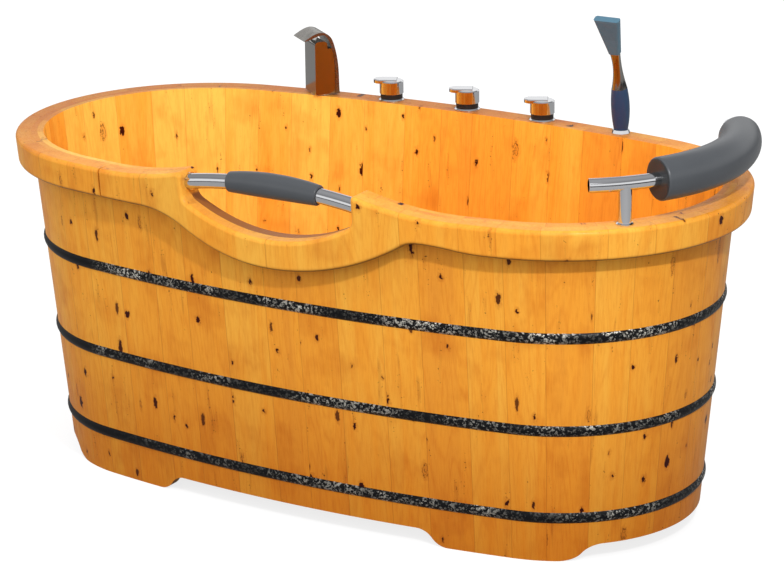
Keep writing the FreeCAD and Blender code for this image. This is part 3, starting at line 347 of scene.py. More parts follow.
    # Late wood stands up, knots are sunk a little and seams more
    height = noise["fibre"]
    for amount, field in ((0.35, late), (-1.2, core_on), (-3.0, group["Seam"])):
        height = add(tree, "Math", {"operation": "MULTIPLY_ADD", 1: amount}, {0: field, 2: height})
    end = tree.nodes.new("NodeGroupOutput")
    for place, result in enumerate((under, rough.outputs[0], height.outputs[0])):
        tree.links.new(result, end.inputs[place])
    return tree


def varnish(tree, grain, tint):
    """Close a wood material: the grain's relief under clear varnish, in the tint's colour."""
    bump = add(tree, "Bump", WOOD_RELIEF, {"Height": grain.outputs["Height"]})
    shader = add(tree, "BsdfPrincipled", VARNISH,
                 {"Base Color": tint, "Roughness": grain.outputs["Roughness"], "Normal": bump})
    finish_shader(tree, shader)


def board_wood(name, arc, seams, seed, figure, knots, tones, cut_below=0.0):
    """Varnished pine in boards that stand side by side round one arc of the oval.

    The boards were planed, glued and brushed with clear varnish. To the eye that is warm honey wood
    whose tone jumps from board to board, with maroon knots and a low, soft gloss.

    seams are the boards' edges as shares of the arc; tones are the darkest and palest board.
    Level faces under cut_below show end grain.
    """
    wood = bpy.context.scene.bathtub_wood
    turn, back, radius, span = ARCS[arc]
    count = len(seams) - 1
    material, tree = new_material(name)
    place = add(tree, "TexCoord")
    local = add(tree, "Mapping",
                {"Location": (back, 0.0, 0.0), "Rotation": (0.0, 0.0, -math.radians(turn))},
                {0: place.outputs["Object"]})
    split = add(tree, "SeparateXYZ", {}, {0: local})
    angle = add(tree, "Math", {"operation": "ARCTAN2"}, {0: split.outputs[1], 1: split})
    flat = add(tree, "VectorMath", {"operation": "MULTIPLY", 1: (1.0, 1.0, 0.0)}, {0: local})
    out = add(tree, "VectorMath", {"operation": "LENGTH"}, {0: flat})
    along = add(tree, "Math", {"operation": "MULTIPLY_ADD", 1: 1.0 / span, 2: 0.5}, {0: angle})
    # A curve through the seams counts the boards: its whole part is the board, the rest the way across
    curve = add(tree, "FloatCurve", {}, {"Value": along})
    points = curve.mapping.curves[0].points
    for index, seam in enumerate(seams[1:-1]):
        points.new(seam, (index + 1) / count)
    for point in points:
        point.handle_type = "VECTOR"
    curve.mapping.update()
    counted = add(tree, "Math", {"operation": "MULTIPLY", 1: count}, {0: curve})
    board = add(tree, "Math", {"operation": "FLOOR"}, {0: counted})
    inner = add(tree, "Math", {"operation": "FRACT"}, {0: counted})
    edge = add(tree, "Math", {"operation": "PINGPONG", 1: 0.5}, {0: inner})
    width = radius * span / count
    seam = add(tree, "MapRange",
               {"From Min": 0.0, "From Max": WALL_SEAM / width, "To Min": 1.0, "To Max": 0.0},
               {"Value": edge})

    # The inner face of a stave shows other knots than its outer face
    lean = add(tree, "Math",
               {"operation": "MULTIPLY_ADD", 1: WALL_LEAN, 2: radius - WALL_LEAN * RIM_Z - HALF_WALL},
               {0: split.outputs[2]})
    within = add(tree, "Math", {"operation": "LESS_THAN"}, {0: out.outputs["Value"], 1: lean})
    number = add(tree, "Math", {"operation": "MULTIPLY_ADD", 1: INNER_SEED, 2: seed}, {0: within})
    key = add(tree, "Math", {"operation": "ADD"}, {0: board, 1: number})
    chance = add(tree, "TexWhiteNoise", {"noise_dimensions": "1D"}, {"W": key})
    # Within a board the tone changes a little from strip to strip
    lane = add(tree, "Math", {"operation": "MULTIPLY", 1: 2.6}, {0: inner})
    strip = add(tree, "Math", {"operation": "FLOOR"}, {0: lane})
    strip_key = add(tree, "Math", {"operation": "MULTIPLY_ADD", 1: STRIP_SEED}, {0: strip, 2: key})
    strip_chance = add(tree, "TexWhiteNoise", {"noise_dimensions": "1D"}, {"W": strip_key})
    tone = add(tree, "MapRange", {"To Min": tones[0], "To Max": tones[1]}, {"Value": chance})
    # Inside, the boards differ more in tone, and grow paler towards the foot end, which is painted
    # light
    swing = add(tree, "Math", {"operation": "MULTIPLY_ADD", 1: 0.42, 2: -0.15}, {0: chance})
    ends = add(tree, "SeparateXYZ", {}, {0: place.outputs["Object"]})
    painted_light_to_foot = add(tree, "Math", {"operation": "MULTIPLY_ADD", 1: -0.50}, {0: ends, 2: swing})
    inner_tone = add(tree, "Math", {"operation": "MULTIPLY_ADD"}, {0: within, 1: painted_light_to_foot, 2: tone})
    level = add(tree, "Math", {"operation": "MULTIPLY_ADD", 1: 0.16}, {0: strip_chance, 2: inner_tone})
    run = add(tree, "Math", {"operation": "MULTIPLY", 1: radius}, {0: angle})
    board_place = add(tree, "CombineXYZ", {}, {0: run, 1: out.outputs["Value"], 2: split.outputs[2]})
    grain = add(tree, "Group", {"node_tree": figure, "Knots": knots},
                {"Place": board_place, "Board": chance.outputs[1], "Tone": level, "Seam": seam})

    # Painted shade: the outer faces are a little duller than the inner ones
    outside = add(tree, "Math", {"operation": "SUBTRACT", 0: 1.0}, {1: within})
    # Painted shade: inside, the boards are darker and redder away from the foot end
    ahead = add(tree, "MapRange", {"From Min": -0.5, "From Max": 0.2}, {"Value": ends})
    inside_shade_share = add(tree, "Math", {"operation": "MULTIPLY"}, {0: ahead, 1: within})
    # Painted shade: near the ground the outside of the wall is darker
    low = add(tree, "MapRange", {"From Min": 0.0, "From Max": 0.42, "To Min": 1.0, "To Max": 0.0,
                                 "interpolation_type": "SMOOTHSTEP"}, {"Value": split.outputs[2]})
    ground_shade_share = add(tree, "Math", {"operation": "MULTIPLY"}, {0: low, 1: outside})
    # Painted shade: the top edge is darker and browner at the back and the foot end
    normal = add(tree, "NewGeometry")
    slope = add(tree, "SeparateXYZ", {}, {0: normal.outputs["Normal"]})
    upward = add(tree, "MapRange", {"From Min": 0.25, "From Max": 0.45}, {"Value": slope.outputs[2]})
    behind = add(tree, "Math", {"operation": "MULTIPLY_ADD", 1: -0.6}, {0: ends, 2: ends.outputs[1]})
    shade_behind = add(tree, "MapRange", {"From Min": -0.1, "From Max": 0.35, "To Min": 0.1, "To Max": 0.9},
                  {"Value": behind})
    top_shade_share = add(tree, "Math", {"operation": "MULTIPLY"}, {0: upward, 1: shade_behind})
    # End grain soaks up varnish, so the staves' cut ends in the dip are dark
    sunk = add(tree, "Math", {"operation": "LESS_THAN", 1: cut_below}, {0: split.outputs[2]})
    above = add(tree, "Math", {"operation": "GREATER_THAN", 1: CUT_ABOVE}, {0: split.outputs[2]})
    level_cut = add(tree, "Math", {"operation": "MULTIPLY"}, {0: sunk, 1: above})
    end_grain_and_end_shade = add(tree, "Math", {"operation": "MULTIPLY"}, {0: level_cut, 1: upward})
    # Painted shadow: faces turned down are darkened, which draws a thin dark line under the rim
    painted_under_shadow = add(tree, "MapRange", {"From Min": -0.40, "From Max": -0.75, "To Max": 0.75},
                {"Value": slope.outputs[2]})
    under = grain.outputs["Color"]
    for blend, paint, amount in (
            ("MULTIPLY", wood.outside_shade, outside), ("MULTIPLY", wood.inside_shade, inside_shade_share),
            ("MULTIPLY", wood.ground_shade, ground_shade_share), ("MULTIPLY", wood.top_shade, top_shade_share),
            ("MIX", linear("#96581C"), end_grain_and_end_shade), ("MIX", linear("#5E3410"), painted_under_shadow)):
        under = add(tree, "Mix", {"data_type": "RGBA", "blend_type": blend, COLOUR_B: paint},
                    {FACTOR: amount, COLOUR_A: under}).outputs[MIXED_COLOUR]
    varnish(tree, grain, under)
    return material


def stave_seams():
    """The staves' edges as shares of an arc."""
    total = sum(STAVE_SHARES)
    return [sum(STAVE_SHARES[:index]) / total for index in range(len(STAVE_SHARES) + 1)]


class BathtubWood(bpy.types.PropertyGroup):
    """Colours of the varnished pine, and of the shade painted over it."""
    light: colour("Light board", "#FFCA58", "Palest boards, nearly sapwood")
    middle: colour("Middle board", "#FBB03E", "Most boards")
    dark: colour("Dark board", "#EEA23C", "Darkest boards, heartwood")
    # The next four colours are painted shade, multiplied over the wood's faces
    outside_shade: colour("Outside shade", "#EFE3D5", "Multiplies the outer faces")
    ground_shade: colour("Ground shade", "#DCC8AE", "Multiplies the outside near the ground")
    inside_shade: colour("Inside shade", "#F8EBD2", "Multiplies the inner faces away from the foot end")
    top_shade: colour("Top shade", "#C4AB90", "Multiplies the top edge at the back and the foot end")
    resin: colour("Resin streak", "#A45A1F", "Streaks of resin along the grain")
    knot: colour("Knot", "#3C0A03", "Middle of a dead knot")
    seam: colour("Seam", "#8A4A16", "Glue line between two boards")
    stave_knots: share("Knots in staves", 0.80, "Share of cells with a knot on the wall")
    rim_knots: share("Knots in the rim", 0.45, "Share of cells with a knot on the rim")


class BathtubHoops(bpy.types.PropertyGroup):
    """Finish of the hammered hoops."""
    iron: colour("Iron", "#101114", "Blackened strap")
    glint: colour("Glint", "#E6E2D6", "Bare metal on the tops of the hammer marks")
    mark: length("Hammer mark", 0.0042, "Width of one hammer mark")


class BathtubSoft(bpy.types.PropertyGroup):
    """Sizes and colour of the foam roll and sleeve."""
    foam: colour("Foam skin", "#4B4E52", "Skin of the moulded foam")
    roll_radius: length("Roll radius", 0.041, "Radius of the headrest roll")
    roll_round: length("Roll end round", 0.006, "Rounding at the roll's ends")
    roll_reach: bpy.props.FloatProperty(
        name="Roll half angle", description="Half of the angle the roll covers",
        default=math.radians(31.0), unit="ROTATION")
    ring_radius: length("Ring radius", 0.344, "Radius of the headrest bar about the end's middle")
    ring_height: length("Ring height", 0.763, "Height of the headrest bar above the ground")
    ring_middle: length("Ring middle", 0.424, "Distance of the bar's middle along the tub")
    sleeve_half: length("Sleeve half length", 0.101, "Half the length of the grab bar's sleeve")
    sleeve_end: length("Sleeve end radius", 0.020, "Radius of the sleeve at its ends")
    sleeve_shift: length("Sleeve shift", 0.005, "How far the sleeve lies off the middle of its bar")
    sleeve_swell: length("Sleeve swell", 0.0045, "How much thicker the sleeve is in its middle")
    sleeve_hole: length("Sleeve hole radius", 0.0153, "Radius of the hole the grab bar runs through")


class BathtubStage(bpy.types.PropertyGroup):
    """Camera and light."""
    lens: bpy.props.FloatProperty(
        name="Lens", description="Focal length on a 36 mm sensor", default=142.72, unit="CAMERA")
    key_power: bpy.props.FloatProperty(
        name="Key light", description="Power of the key lamp", default=82.0, unit="POWER")
    key_size: length("Key size", 0.16, "Width of the key lamp's round diffuser")
    fill: bpy.props.FloatProperty(
        name="Fill", description="Strength of the even light above the front", default=1.53, min=0.0)
    floor: colour("Floor", "#888888", "Matt floor under its white lift")
    floor_lift: share("Floor lift", 0.80, "White that the floor shows the camera besides its light")


class BATHTUB_OT_stage(bpy.types.Operator):
    """Set up the camera, the floor and the soft studio light"""
    bl_idname = "bathtub.stage"
    bl_label = "Stage"

    def execute(self, context):
        stage = context.scene.bathtub_stage
        data = bpy.data.cameras.new("Camera")
        data.lens = stage.lens
        data.sensor_width = 36.0
        data.clip_end = 100.0
        camera = bpy.data.objects.new("Camera", data)
        context.scene.collection.objects.link(camera)
        right, up = Vector(CAMERA_RIGHT), Vector(CAMERA_UP)
        turn = Matrix((right, up, right.cross(up))).transposed().to_4x4()
        camera.matrix_world = Matrix.Translation(CAMERA_PLACE) @ turn
        context.scene.camera = camera

        bm = bmesh.new()
        bmesh.ops.create_grid(bm, x_segments=1, y_segments=1, size=FLOOR_REACH)
        mesh = bpy.data.meshes.new("studio_floor")
        bm.to_mesh(mesh)
        bm.free()
        floor = bpy.data.objects.new("studio_floor", mesh)
        context.scene.collection.objects.link(floor)
        # Matt paper sweep: even and pale, and it lifts to white for the camera outside the shadow
        paper, tree = new_material("Matt paper floor")
        path = add(tree, "LightPath")
        mirrored = add(tree, "Math", {"operation": "MULTIPLY", 1: FLOOR_IN_METAL},
                       {0: path.outputs["Is Glossy Ray"]})
        seen = add(tree, "Math", {"operation": "MAXIMUM"},
                   {0: path.outputs["Is Camera Ray"], 1: mirrored})
        glow = add(tree, "Math", {"operation": "MULTIPLY", 1: stage.floor_lift}, {0: seen})
        matt = add(tree, "BsdfDiffuse", {"Color": stage.floor})
        lift = add(tree, "Emission", {"Color": WHITE}, {"Strength": glow})
        both = add(tree, "AddShader", {}, {0: matt, 1: lift})
        finish_shader(tree, both)
        mesh.materials.append(paper)

        lamp = bpy.data.lights.new("Key lamp", "AREA")
        lamp.shape = "DISK"
        lamp.size = stage.key_size
        lamp.energy = stage.key_power
        holder = bpy.data.objects.new("Key lamp", lamp)
        context.scene.collection.objects.link(holder)
        holder.location = LAMP_PLACE
        aim = Vector(LAMP_AIM) - holder.location
        holder.rotation_euler = aim.to_track_quat("-Z", "Y").to_euler()

        world = bpy.data.worlds.new("Studio")
        context.scene.world = world
        world.use_nodes = True
        tree = world.node_tree
        tree.nodes.clear()
        path = add(tree, "LightPath")
        place = add(tree, "TexCoord")
        # Even light from all round, strongest from above the front
        lean = add(tree, "VectorMath", {"operation": "DOT_PRODUCT", 1: FILL_FROM},
                   {0: place.outputs["Generated"]})
        fill = add(tree, "MapRange",
                   {"From Min": -0.2, "To Min": stage.fill * 0.35, "To Max": stage.fill},
                   {"Value": lean.outputs["Value"]})
        # Bright work mirrors a plain room instead
        split = add(tree, "SeparateXYZ", {}, {0: place.outputs["Generated"]})
        room = add(tree, "ValToRGB", {}, {0: split.outputs[2]})
        ramp = room.color_ramp
        ramp.elements[0].color = HORIZON
        ramp.elements[1].color = CEILING
        for height, level in ROOM_TONES:
            ramp.elements.new(height).color = (level, level, level, 1.0)
        plain = add(tree, "CombineColor", {}, {index: fill for index in range(3)})
        mirrored = add(tree, "Mix", {"data_type": "RGBA"},
                       {FACTOR: path.outputs["Is Glossy Ray"], COLOUR_A: plain, COLOUR_B: room})
        # The camera, and what is seen through glass, gets a white background
        clear = add(tree, "Math", {"operation": "MAXIMUM"},
                    {0: path.outputs["Is Camera Ray"], 1: path.outputs["Is Transmission Ray"]})
        white = add(tree, "Mix", {"data_type": "RGBA", COLOUR_B: WHITE},
                    {FACTOR: clear, COLOUR_A: mirrored.outputs[MIXED_COLOUR]})
        sky = add(tree, "Background", {"Strength": 1.0}, {"Color": white.outputs[MIXED_COLOUR]})
        add(tree, "OutputWorld", {}, {"Surface": sky})
        context.scene.view_settings.view_transform = "Standard"
        return {"FINISHED"}


class BATHTUB_OT_wood(bpy.types.Operator):
    """Dress the staves, the rim, the floor and its bearers in varnished pine"""
    bl_idname = "bathtub.wood"
    bl_label = "Wood"

    def execute(self, context):
        wood = context.scene.bathtub_wood
        figure = pine_grain()
        seams = stave_seams()
        for number, arc in enumerate(ARCS):
            material = board_wood("Varnished pine, " + arc + " staves", arc, seams,
                                  STAVE_SEED + ARC_SEED * number, figure, wood.stave_knots,
                                  STAVE_TONES, CUT_BELOW)
            self.dress_arc(("staves_" + arc,), material)
        for number, arc in enumerate(ARCS):
            front = arc == "front"
            material = board_wood("Varnished pine, " + arc + " rim", arc, RIM_SEAMS[arc],
                                  RIM_SEED + ARC_SEED * number, figure, wood.rim_knots,
                                  FRONT_RIM_LIT_TONES if front else RIM_TONES)
            self.dress_arc(("rim_" + arc, "rim_dip") if front else ("rim_" + arc,), material)
        dress(["floor_boards", "floor_bearers"], self.flat_boards(figure))
        return {"FINISHED"}

    def dress_arc(self, starts, material):
        """Dress every node whose name begins in one of the given ways."""
        dress([name for name in NODES if name.startswith(starts)], material)

    def flat_boards(self, figure):
        """Varnished pine in planed boards along the tub: pale parallel strips with thin dark seams."""
        low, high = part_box("floor_boards")
        material, tree = new_material("Varnished pine, floor")
        place = add(tree, "TexCoord")
        split = add(tree, "SeparateXYZ", {}, {0: place.outputs["Object"]})
        step = (high.y - low.y) / FLOOR_BOARDS
        counted = add(tree, "Math", {"operation": "MULTIPLY_ADD", 1: 1.0 / step, 2: -low.y / step},
                      {0: split.outputs[1]})
        board = add(tree, "Math", {"operation": "FLOOR"}, {0: counted})
        edge = add(tree, "Math", {"operation": "PINGPONG", 1: 0.5}, {0: counted})
        seam = add(tree, "MapRange",
                   {"From Min": 0.0, "From Max": FLOOR_SEAM / step, "To Min": 1.0, "To Max": 0.0},
                   {"Value": edge})
        chance = add(tree, "TexWhiteNoise", {"noise_dimensions": "1D"}, {"W": board})
        tone = add(tree, "MapRange", {"To Min": FLOOR_TONES[0], "To Max": FLOOR_TONES[1]},
                   {"Value": chance})
        turned = add(tree, "CombineXYZ", {}, {0: split.outputs[1], 1: split.outputs[2], 2: split})
        grain = add(tree, "Group", {"node_tree": figure, "Knots": FLOOR_KNOTS},
                    {"Place": turned, "Board": chance.outputs[1], "Tone": tone, "Seam": seam})
        varnish(tree, grain, grain.outputs["Color"])
        return material


class BATHTUB_OT_hoops(bpy.types.Operator):
    """Dress the hoops in blackened, hammered iron"""
    bl_idname = "bathtub.hoops"
    bl_label = "Hoops"

    def execute(self, context):
        hoops = context.scene.bathtub_hoops
        # Mild steel strap, forge blackened and hammered: black scale, bare glints on the hammer marks
        iron, tree = new_material("Hammered black iron")
        place = add(tree, "TexCoord")
        # Each blow leaves a facet; scale has come off the tops of some in small chips
        marks = add(tree, "TexVoronoi", {"feature": "F1", "Scale": 1.0 / hoops.mark, "Randomness": 1.0},
                    {"Vector": place.outputs["Object"]})
        flake = add(tree, "SeparateColor", {}, {0: marks.outputs["Color"]})
        chips = add(tree, "TexNoise", {"Scale": SCALE_CHIP, "Detail": 3.0, "Roughness": 0.7},
                    {"Vector": place.outputs["Object"]})
        split = add(tree, "SeparateXYZ", {}, {0: place.outputs["Object"]})
        runs = add(tree, "TexNoise", {"Scale": HAMMER_RUN, "Detail": 2.0},
                   {"Vector": place.outputs["Object"]})
        along = add(tree, "Math", {"operation": "MULTIPLY_ADD", 1: 0.35}, {0: runs, 2: split})
        # Plain at the left end; the rest of each strap is hammered, in some places more than others
        hammered = add(tree, "MapRange", {"From Min": -0.35, "From Max": -0.15}, {"Value": along})
        patch = add(tree, "MapRange", {"From Min": 0.44, "From Max": 0.60, "To Min": 0.12},
                    {"Value": runs})
        # The top hoop shows the most marks
        high = add(tree, "MapRange", {"From Min": 0.36, "From Max": 0.50, "To Min": 0.6},
                   {"Value": split.outputs[2]})
        patched = add(tree, "Math", {"operation": "MULTIPLY"}, {0: hammered, 1: patch})
        worked = add(tree, "Math", {"operation": "MULTIPLY"}, {0: patched, 1: high})
        height = add(tree, "Math", {"operation": "MULTIPLY_ADD", 1: 0.45}, {0: flake, 2: chips})
        tops = add(tree, "MapRange", {"From Min": 0.78, "From Max": 0.93}, {"Value": height})
        bare = add(tree, "Math", {"operation": "MULTIPLY"}, {0: tops, 1: worked})
        tint = add(tree, "Mix", {"data_type": "RGBA", COLOUR_A: hoops.iron, COLOUR_B: hoops.glint},
                   {FACTOR: bare})
        rough = add(tree, "MapRange", {"To Min": 0.48, "To Max": 0.22}, {"Value": bare})
        deep = add(tree, "Math", {"operation": "MULTIPLY"}, {0: height, 1: worked})
        bump = add(tree, "Bump", {"Strength": 0.9, "Distance": 0.0016}, {"Height": deep})
        shader = add(tree, "BsdfPrincipled", {"Metallic": 0.75},
                     {"Base Color": tint.outputs[MIXED_COLOUR], "Roughness": rough, "Normal": bump})
        finish_shader(tree, shader)
        dress(["hoop_bottom", "hoop_middle", "hoop_top"], iron)
        return {"FINISHED"}


class BATHTUB_OT_fittings(bpy.types.Operator):
    """Dress the taps, spout, hand shower, grab bar, headrest bar and waste"""
    bl_idname = "bathtub.fittings"
    bl_label = "Fittings"

    def execute(self, context):
        # Mirror-like: sharp pictures of the boards and the pale room, a little clouded by handling
        chrome = self.smooth("Chromium plate, polished", "#E4E5E8", 1.0, 0.05, 0.13, 6.0)
        # Brushed instead: the same metal gives a soft, darker grey with faint streaks of light
        satin = self.smooth("Chromium plate, brushed", "#8E8A84", 1.0, 0.20, 0.34, 90.0)
        # A copy of the polished chrome, a little rougher, its base darkened as painted shade, so that
        # the boards' reflection comes back brown rather than orange
        shaded_chrome = self.smooth("Chromium plate, polished, painted shade", "#A8A5A0", 1.0, 0.08, 0.16, 6.0)
        # Turned on a lathe: yellow metal, its highlights broken up by fine tool marks
        brass = self.smooth("Brass, machined", "#C09A54", 1.0, 0.22, 0.38, 260.0)
        # Pressed in a mould: nearly black, with a dull, even edge light
        rubber = self.smooth("Nitrile rubber, moulded", "#101112", 0.0, 0.45, 0.6, 180.0)
        # Injection moulded: black with a waxy gleam
        plastic = self.smooth("Polypropylene, moulded", "#17181A", 0.0, 0.38, 0.5, 180.0)
        # Injection moulded and lightly textured: deep blue with a soft highlight down the grip
        navy = self.smooth("ABS, moulded navy", "#223F62", 0.0, 0.32, 0.46, 120.0)
        # Injection moulded, smoother: cool grey that picks up warm light from the wood
        grey = self.smooth("ABS, moulded slate grey", "#4E758A", 0.0, 0.30, 0.42, 120.0)
        # Moulded soft: a shade duller than the head round it
        nozzle = self.smooth("Silicone spray plate, moulded", "#4C7084", 0.0, 0.45, 0.6, 200.0)
        plated = ("spout_", "headrest_", "grab_bar", "drain_")
        dress([name for name in NODES if name.startswith(plated)], chrome)
        dress(["hot_tap_handle", "cold_tap_handle", "diverter_handle", "tap_bases", "shower_socket"],
              chrome)
        dress(["spout_hood"], satin)
        dress(["spout_column", "shower_neck"], shaded_chrome)
        dress(["hot_tap_spindle", "cold_tap_spindle", "diverter_spindle", "lock_nuts"], brass)
        dress(["tap_collars", "waste_washer"], rubber)
        dress(["waste_nut", "waste_tail"], plastic)
        dress(["shower_grip"], navy)
        dress(["shower_head"], grey)
        dress(["shower_spray_plate"], nozzle)
        return {"FINISHED"}

    def smooth(self, name, code, metallic, low, high, marks_per_metre):
        """A smooth made surface whose gloss varies with handling marks, from roughness low to high."""
        material, tree = new_material(name)
        place = add(tree, "TexCoord")
        marks = add(tree, "TexNoise", {"Scale": marks_per_metre, "Detail": 4.0, "Roughness": 0.6},
                    {"Vector": place.outputs["Object"]})
        rough = add(tree, "MapRange", {"From Min": 0.3, "From Max": 0.7, "To Min": low, "To Max": high},
                    {"Value": marks})
        base = linear(code)
        tint = add(tree, "Mix", {"data_type": "RGBA", COLOUR_A: base, COLOUR_B: darker(base, 0.82)},
                   {FACTOR: marks})
        bump = add(tree, "Bump", {"Strength": 0.04, "Distance": 0.0003}, {"Height": marks})
        shader = add(tree, "BsdfPrincipled", {"Metallic": metallic},
                     {"Base Color": tint.outputs[MIXED_COLOUR], "Roughness": rough, "Normal": bump})
        finish_shader(tree, shader)
        return material


def foam_skin(soft, name, end_shade_angle=math.pi):
    """Integral-skin polyurethane foam, moulded: even dark grey, faint pores, a soft, broad highlight.

    Past the given angle, taken round the headrest end's middle, lie the roll's end faces. They
    carry painted shade, so they show nearly black.
    """
    material, tree = new_material(name)
    place = add(tree, "TexCoord")
    spot = place.outputs["Object"]
    pores = add(tree, "TexNoise", {"Scale": FOAM_PORE, "Detail": 3.0}, {"Vector": spot})
    cloud = add(tree, "TexNoise", {"Scale": FOAM_CLOUD, "Detail": 2.0}, {"Vector": spot})
    split = add(tree, "SeparateXYZ", {}, {0: spot})
    ahead = add(tree, "Math", {"operation": "SUBTRACT", 1: soft.ring_middle}, {0: split})
    angle = add(tree, "Math", {"operation": "ARCTAN2"}, {0: split.outputs[1], 1: ahead})
    either_side = add(tree, "Math", {"operation": "ABSOLUTE"}, {0: angle})
    # Painted shade: the roll's end faces show nearly black
    end_grain_and_end_shade = add(tree, "Math", {"operation": "GREATER_THAN", 1: end_shade_angle}, {0: either_side})
    foam = tuple(soft.foam)
    skin = add(tree, "Mix", {"data_type": "RGBA", COLOUR_A: foam, COLOUR_B: darker(foam, 0.8)},
               {FACTOR: cloud})
    tint = add(tree, "Mix", {"data_type": "RGBA", COLOUR_B: linear("#2A2C2E")},
               {FACTOR: end_grain_and_end_shade, COLOUR_A: skin.outputs[MIXED_COLOUR]})
    rough = add(tree, "MapRange", {"To Min": 0.28, "To Max": 0.40}, {"Value": pores})
    bump = add(tree, "Bump", {"Strength": 0.12, "Distance": 0.0003}, {"Height": pores})
    shader = add(tree, "BsdfPrincipled",
                 {"Sheen Weight": 0.02, "Sheen Roughness": 0.5, "Specular IOR Level": 0.35},
                 {"Base Color": tint.outputs[MIXED_COLOUR], "Roughness": rough, "Normal": bump})
    finish_shader(tree, shader)
    return material


class BATHTUB_OT_headrest(bpy.types.Operator):
    """Make the headrest's foam roll round its bar"""
    bl_idname = "bathtub.headrest"
    bl_label = "Headrest roll"

    def execute(self, context):
        soft = context.scene.bathtub_soft
        middle = Vector((soft.ring_middle, 0.0, soft.ring_height))
        bm = bmesh.new()
        # A disc stood up on the bar, spun along it to a roll; its two ends are then rounded and closed
        ring = bmesh.ops.create_circle(bm, cap_ends=True, segments=ROLL_SIDES,
                                       radius=soft.roll_radius)["verts"]
        bmesh.ops.rotate(bm, verts=ring, cent=(0, 0, 0), matrix=Matrix.Rotation(math.pi / 2.0, 3, "X"))
        bmesh.ops.translate(bm, verts=ring, vec=middle + Vector((soft.ring_radius, 0.0, 0.0)))
        bmesh.ops.rotate(bm, verts=ring, cent=middle, matrix=Matrix.Rotation(-soft.roll_reach, 3, "Z"))
        start = bm.faces[:]
        bmesh.ops.spin(bm, geom=start + bm.edges[:] + bm.verts[:], cent=middle, axis=(0, 0, 1),
                       angle=2.0 * soft.roll_reach, steps=ROLL_STEPS, use_merge=False,
                       use_duplicate=False)
        edges = [edge for face in self.caps(bm) for edge in face.edges]
        bmesh.ops.bevel(bm, geom=edges, offset=soft.roll_round, offset_type="OFFSET", segments=6,
                        profile=0.5, affect="EDGES", material=-1, clamp_overlap=True)
        bmesh.ops.inset_individual(bm, faces=self.caps(bm), thickness=0.010, depth=0.0006)
        bmesh.ops.poke(bm, faces=self.caps(bm), offset=0.0004)
        roll = settled(bm, "headrest_foam_roll")
        dress([roll], foam_skin(soft, "Polyurethane foam, roll", soft.roll_reach - END_FACE_ANGLE))
        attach(roll, "tub")
        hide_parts("headrest_roll")
        return {"FINISHED"}

    def caps(self, bm):
        """The roll's end faces, the only ones with more than four corners."""
        return [face for face in bm.faces if len(face.verts) > 4]


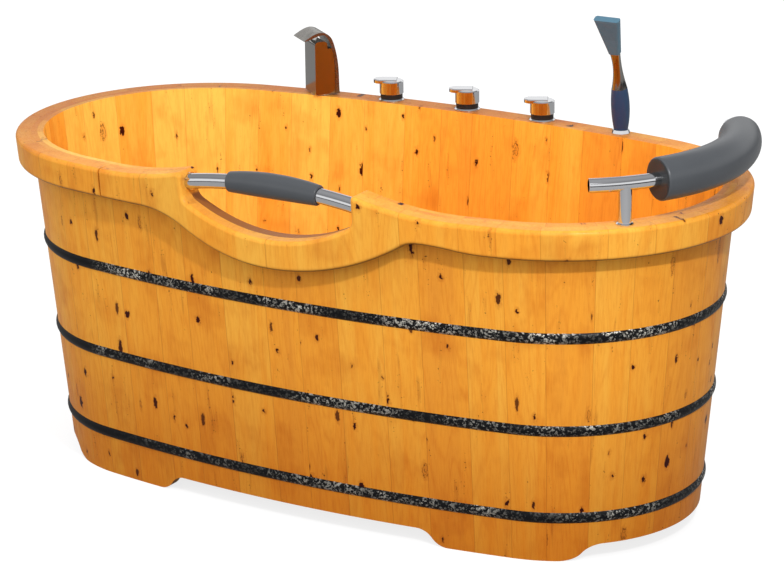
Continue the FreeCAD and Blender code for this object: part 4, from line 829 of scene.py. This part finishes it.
class BATHTUB_OT_sleeve(bpy.types.Operator):
    """Make the grab bar's foam sleeve"""
    bl_idname = "bathtub.sleeve"
    bl_label = "Grab bar sleeve"

    def execute(self, context):
        soft = context.scene.bathtub_soft
        low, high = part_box("grab_bar")
        arch = (BAR_HALF_SPAN ** 2 + BAR_RISE ** 2) / (2.0 * BAR_RISE)
        middle = Vector(((low.x + high.x) / 2.0, (low.y + high.y) / 2.0,
                         RIM_Z + BAR_END_HEIGHT + BAR_RISE - arch))
        # The outline of a straight sleeve, spun round its bar
        bm = bmesh.new()
        outer = []
        for index in range(SLEEVE_STEPS + 1):
            part = 2.0 * index / SLEEVE_STEPS - 1.0
            radius = soft.sleeve_end + soft.sleeve_swell * (1.0 - part * part)
            outer.append(bm.verts.new((part * soft.sleeve_half, 0.0, radius)))
        hole = [bm.verts.new((part * soft.sleeve_half, 0.0, soft.sleeve_hole))
                for part in (1.0, 0.0, -1.0)]
        loop = outer + hole
        for index, vert in enumerate(loop):
            bm.edges.new((vert, loop[(index + 1) % len(loop)]))
        bmesh.ops.spin(bm, geom=bm.verts[:] + bm.edges[:], cent=(0, 0, 0), axis=(1, 0, 0),
                       angle=math.tau, steps=SLEEVE_SIDES, use_merge=True, use_duplicate=False)
        rims = [edge for edge in bm.edges
                if all(abs(abs(v.co.x) - soft.sleeve_half) < SAME_PLACE and
                       abs(math.hypot(v.co.y, v.co.z) - soft.sleeve_end) < SAME_PLACE
                       for v in edge.verts)]
        bmesh.ops.bevel(bm, geom=rims, offset=SLEEVE_ROUND, offset_type="OFFSET", segments=4,
                        profile=0.5, affect="EDGES", material=-1, clamp_overlap=True)
        # Bent to the bar's arch
        for vert in bm.verts:
            turn = (vert.co.x + soft.sleeve_shift) / arch
            out = arch + vert.co.z
            vert.co = (middle.x + out * math.sin(turn), middle.y + vert.co.y,
                       middle.z + out * math.cos(turn))
        sleeve = settled(bm, "grab_bar_foam_sleeve")
        dress([sleeve], foam_skin(soft, "Polyurethane foam, sleeve"))
        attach(sleeve, "tub")
        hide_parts("grab_bar_sleeve")
        return {"FINISHED"}


class BATHTUB_PT_panel(bpy.types.Panel):
    """Lists the bathtub's pieces and their settings"""
    bl_idname = "BATHTUB_PT_panel"
    bl_label = "Wooden bathtub"
    bl_space_type = "VIEW_3D"
    bl_region_type = "UI"
    bl_category = "Bathtub"

    def draw(self, context):
        for operator in OPERATORS:
            self.layout.operator(operator.bl_idname)
        for key in GROUPS:
            group = getattr(context.scene, key)
            box = self.layout.box()
            for name in group.bl_rna.properties.keys():
                if name not in ("rna_type", "name"):
                    box.prop(group, name)


GROUPS = {
    "bathtub_wood": BathtubWood,
    "bathtub_hoops": BathtubHoops,
    "bathtub_soft": BathtubSoft,
    "bathtub_stage": BathtubStage,
}
OPERATORS = [BATHTUB_OT_stage, BATHTUB_OT_wood, BATHTUB_OT_hoops, BATHTUB_OT_fittings,
             BATHTUB_OT_headrest, BATHTUB_OT_sleeve]


def register():
    """Register the settings, the operators and the panel."""
    for name, group in GROUPS.items():
        bpy.utils.register_class(group)
        setattr(bpy.types.Scene, name, bpy.props.PointerProperty(type=group))
    for item in OPERATORS + [BATHTUB_PT_panel]:
        bpy.utils.register_class(item)


def unregister():
    """Undo register."""
    for item in reversed(OPERATORS + [BATHTUB_PT_panel]):
        bpy.utils.unregister_class(item)
    for name, group in GROUPS.items():
        delattr(bpy.types.Scene, name)
        bpy.utils.unregister_class(group)


def main():
    """Make every piece."""
    register()
    bpy.ops.bathtub.stage()
    bpy.ops.bathtub.wood()
    bpy.ops.bathtub.hoops()
    bpy.ops.bathtub.fittings()
    bpy.ops.bathtub.headrest()
    bpy.ops.bathtub.sleeve()


if __name__ == "__main__":
    main()
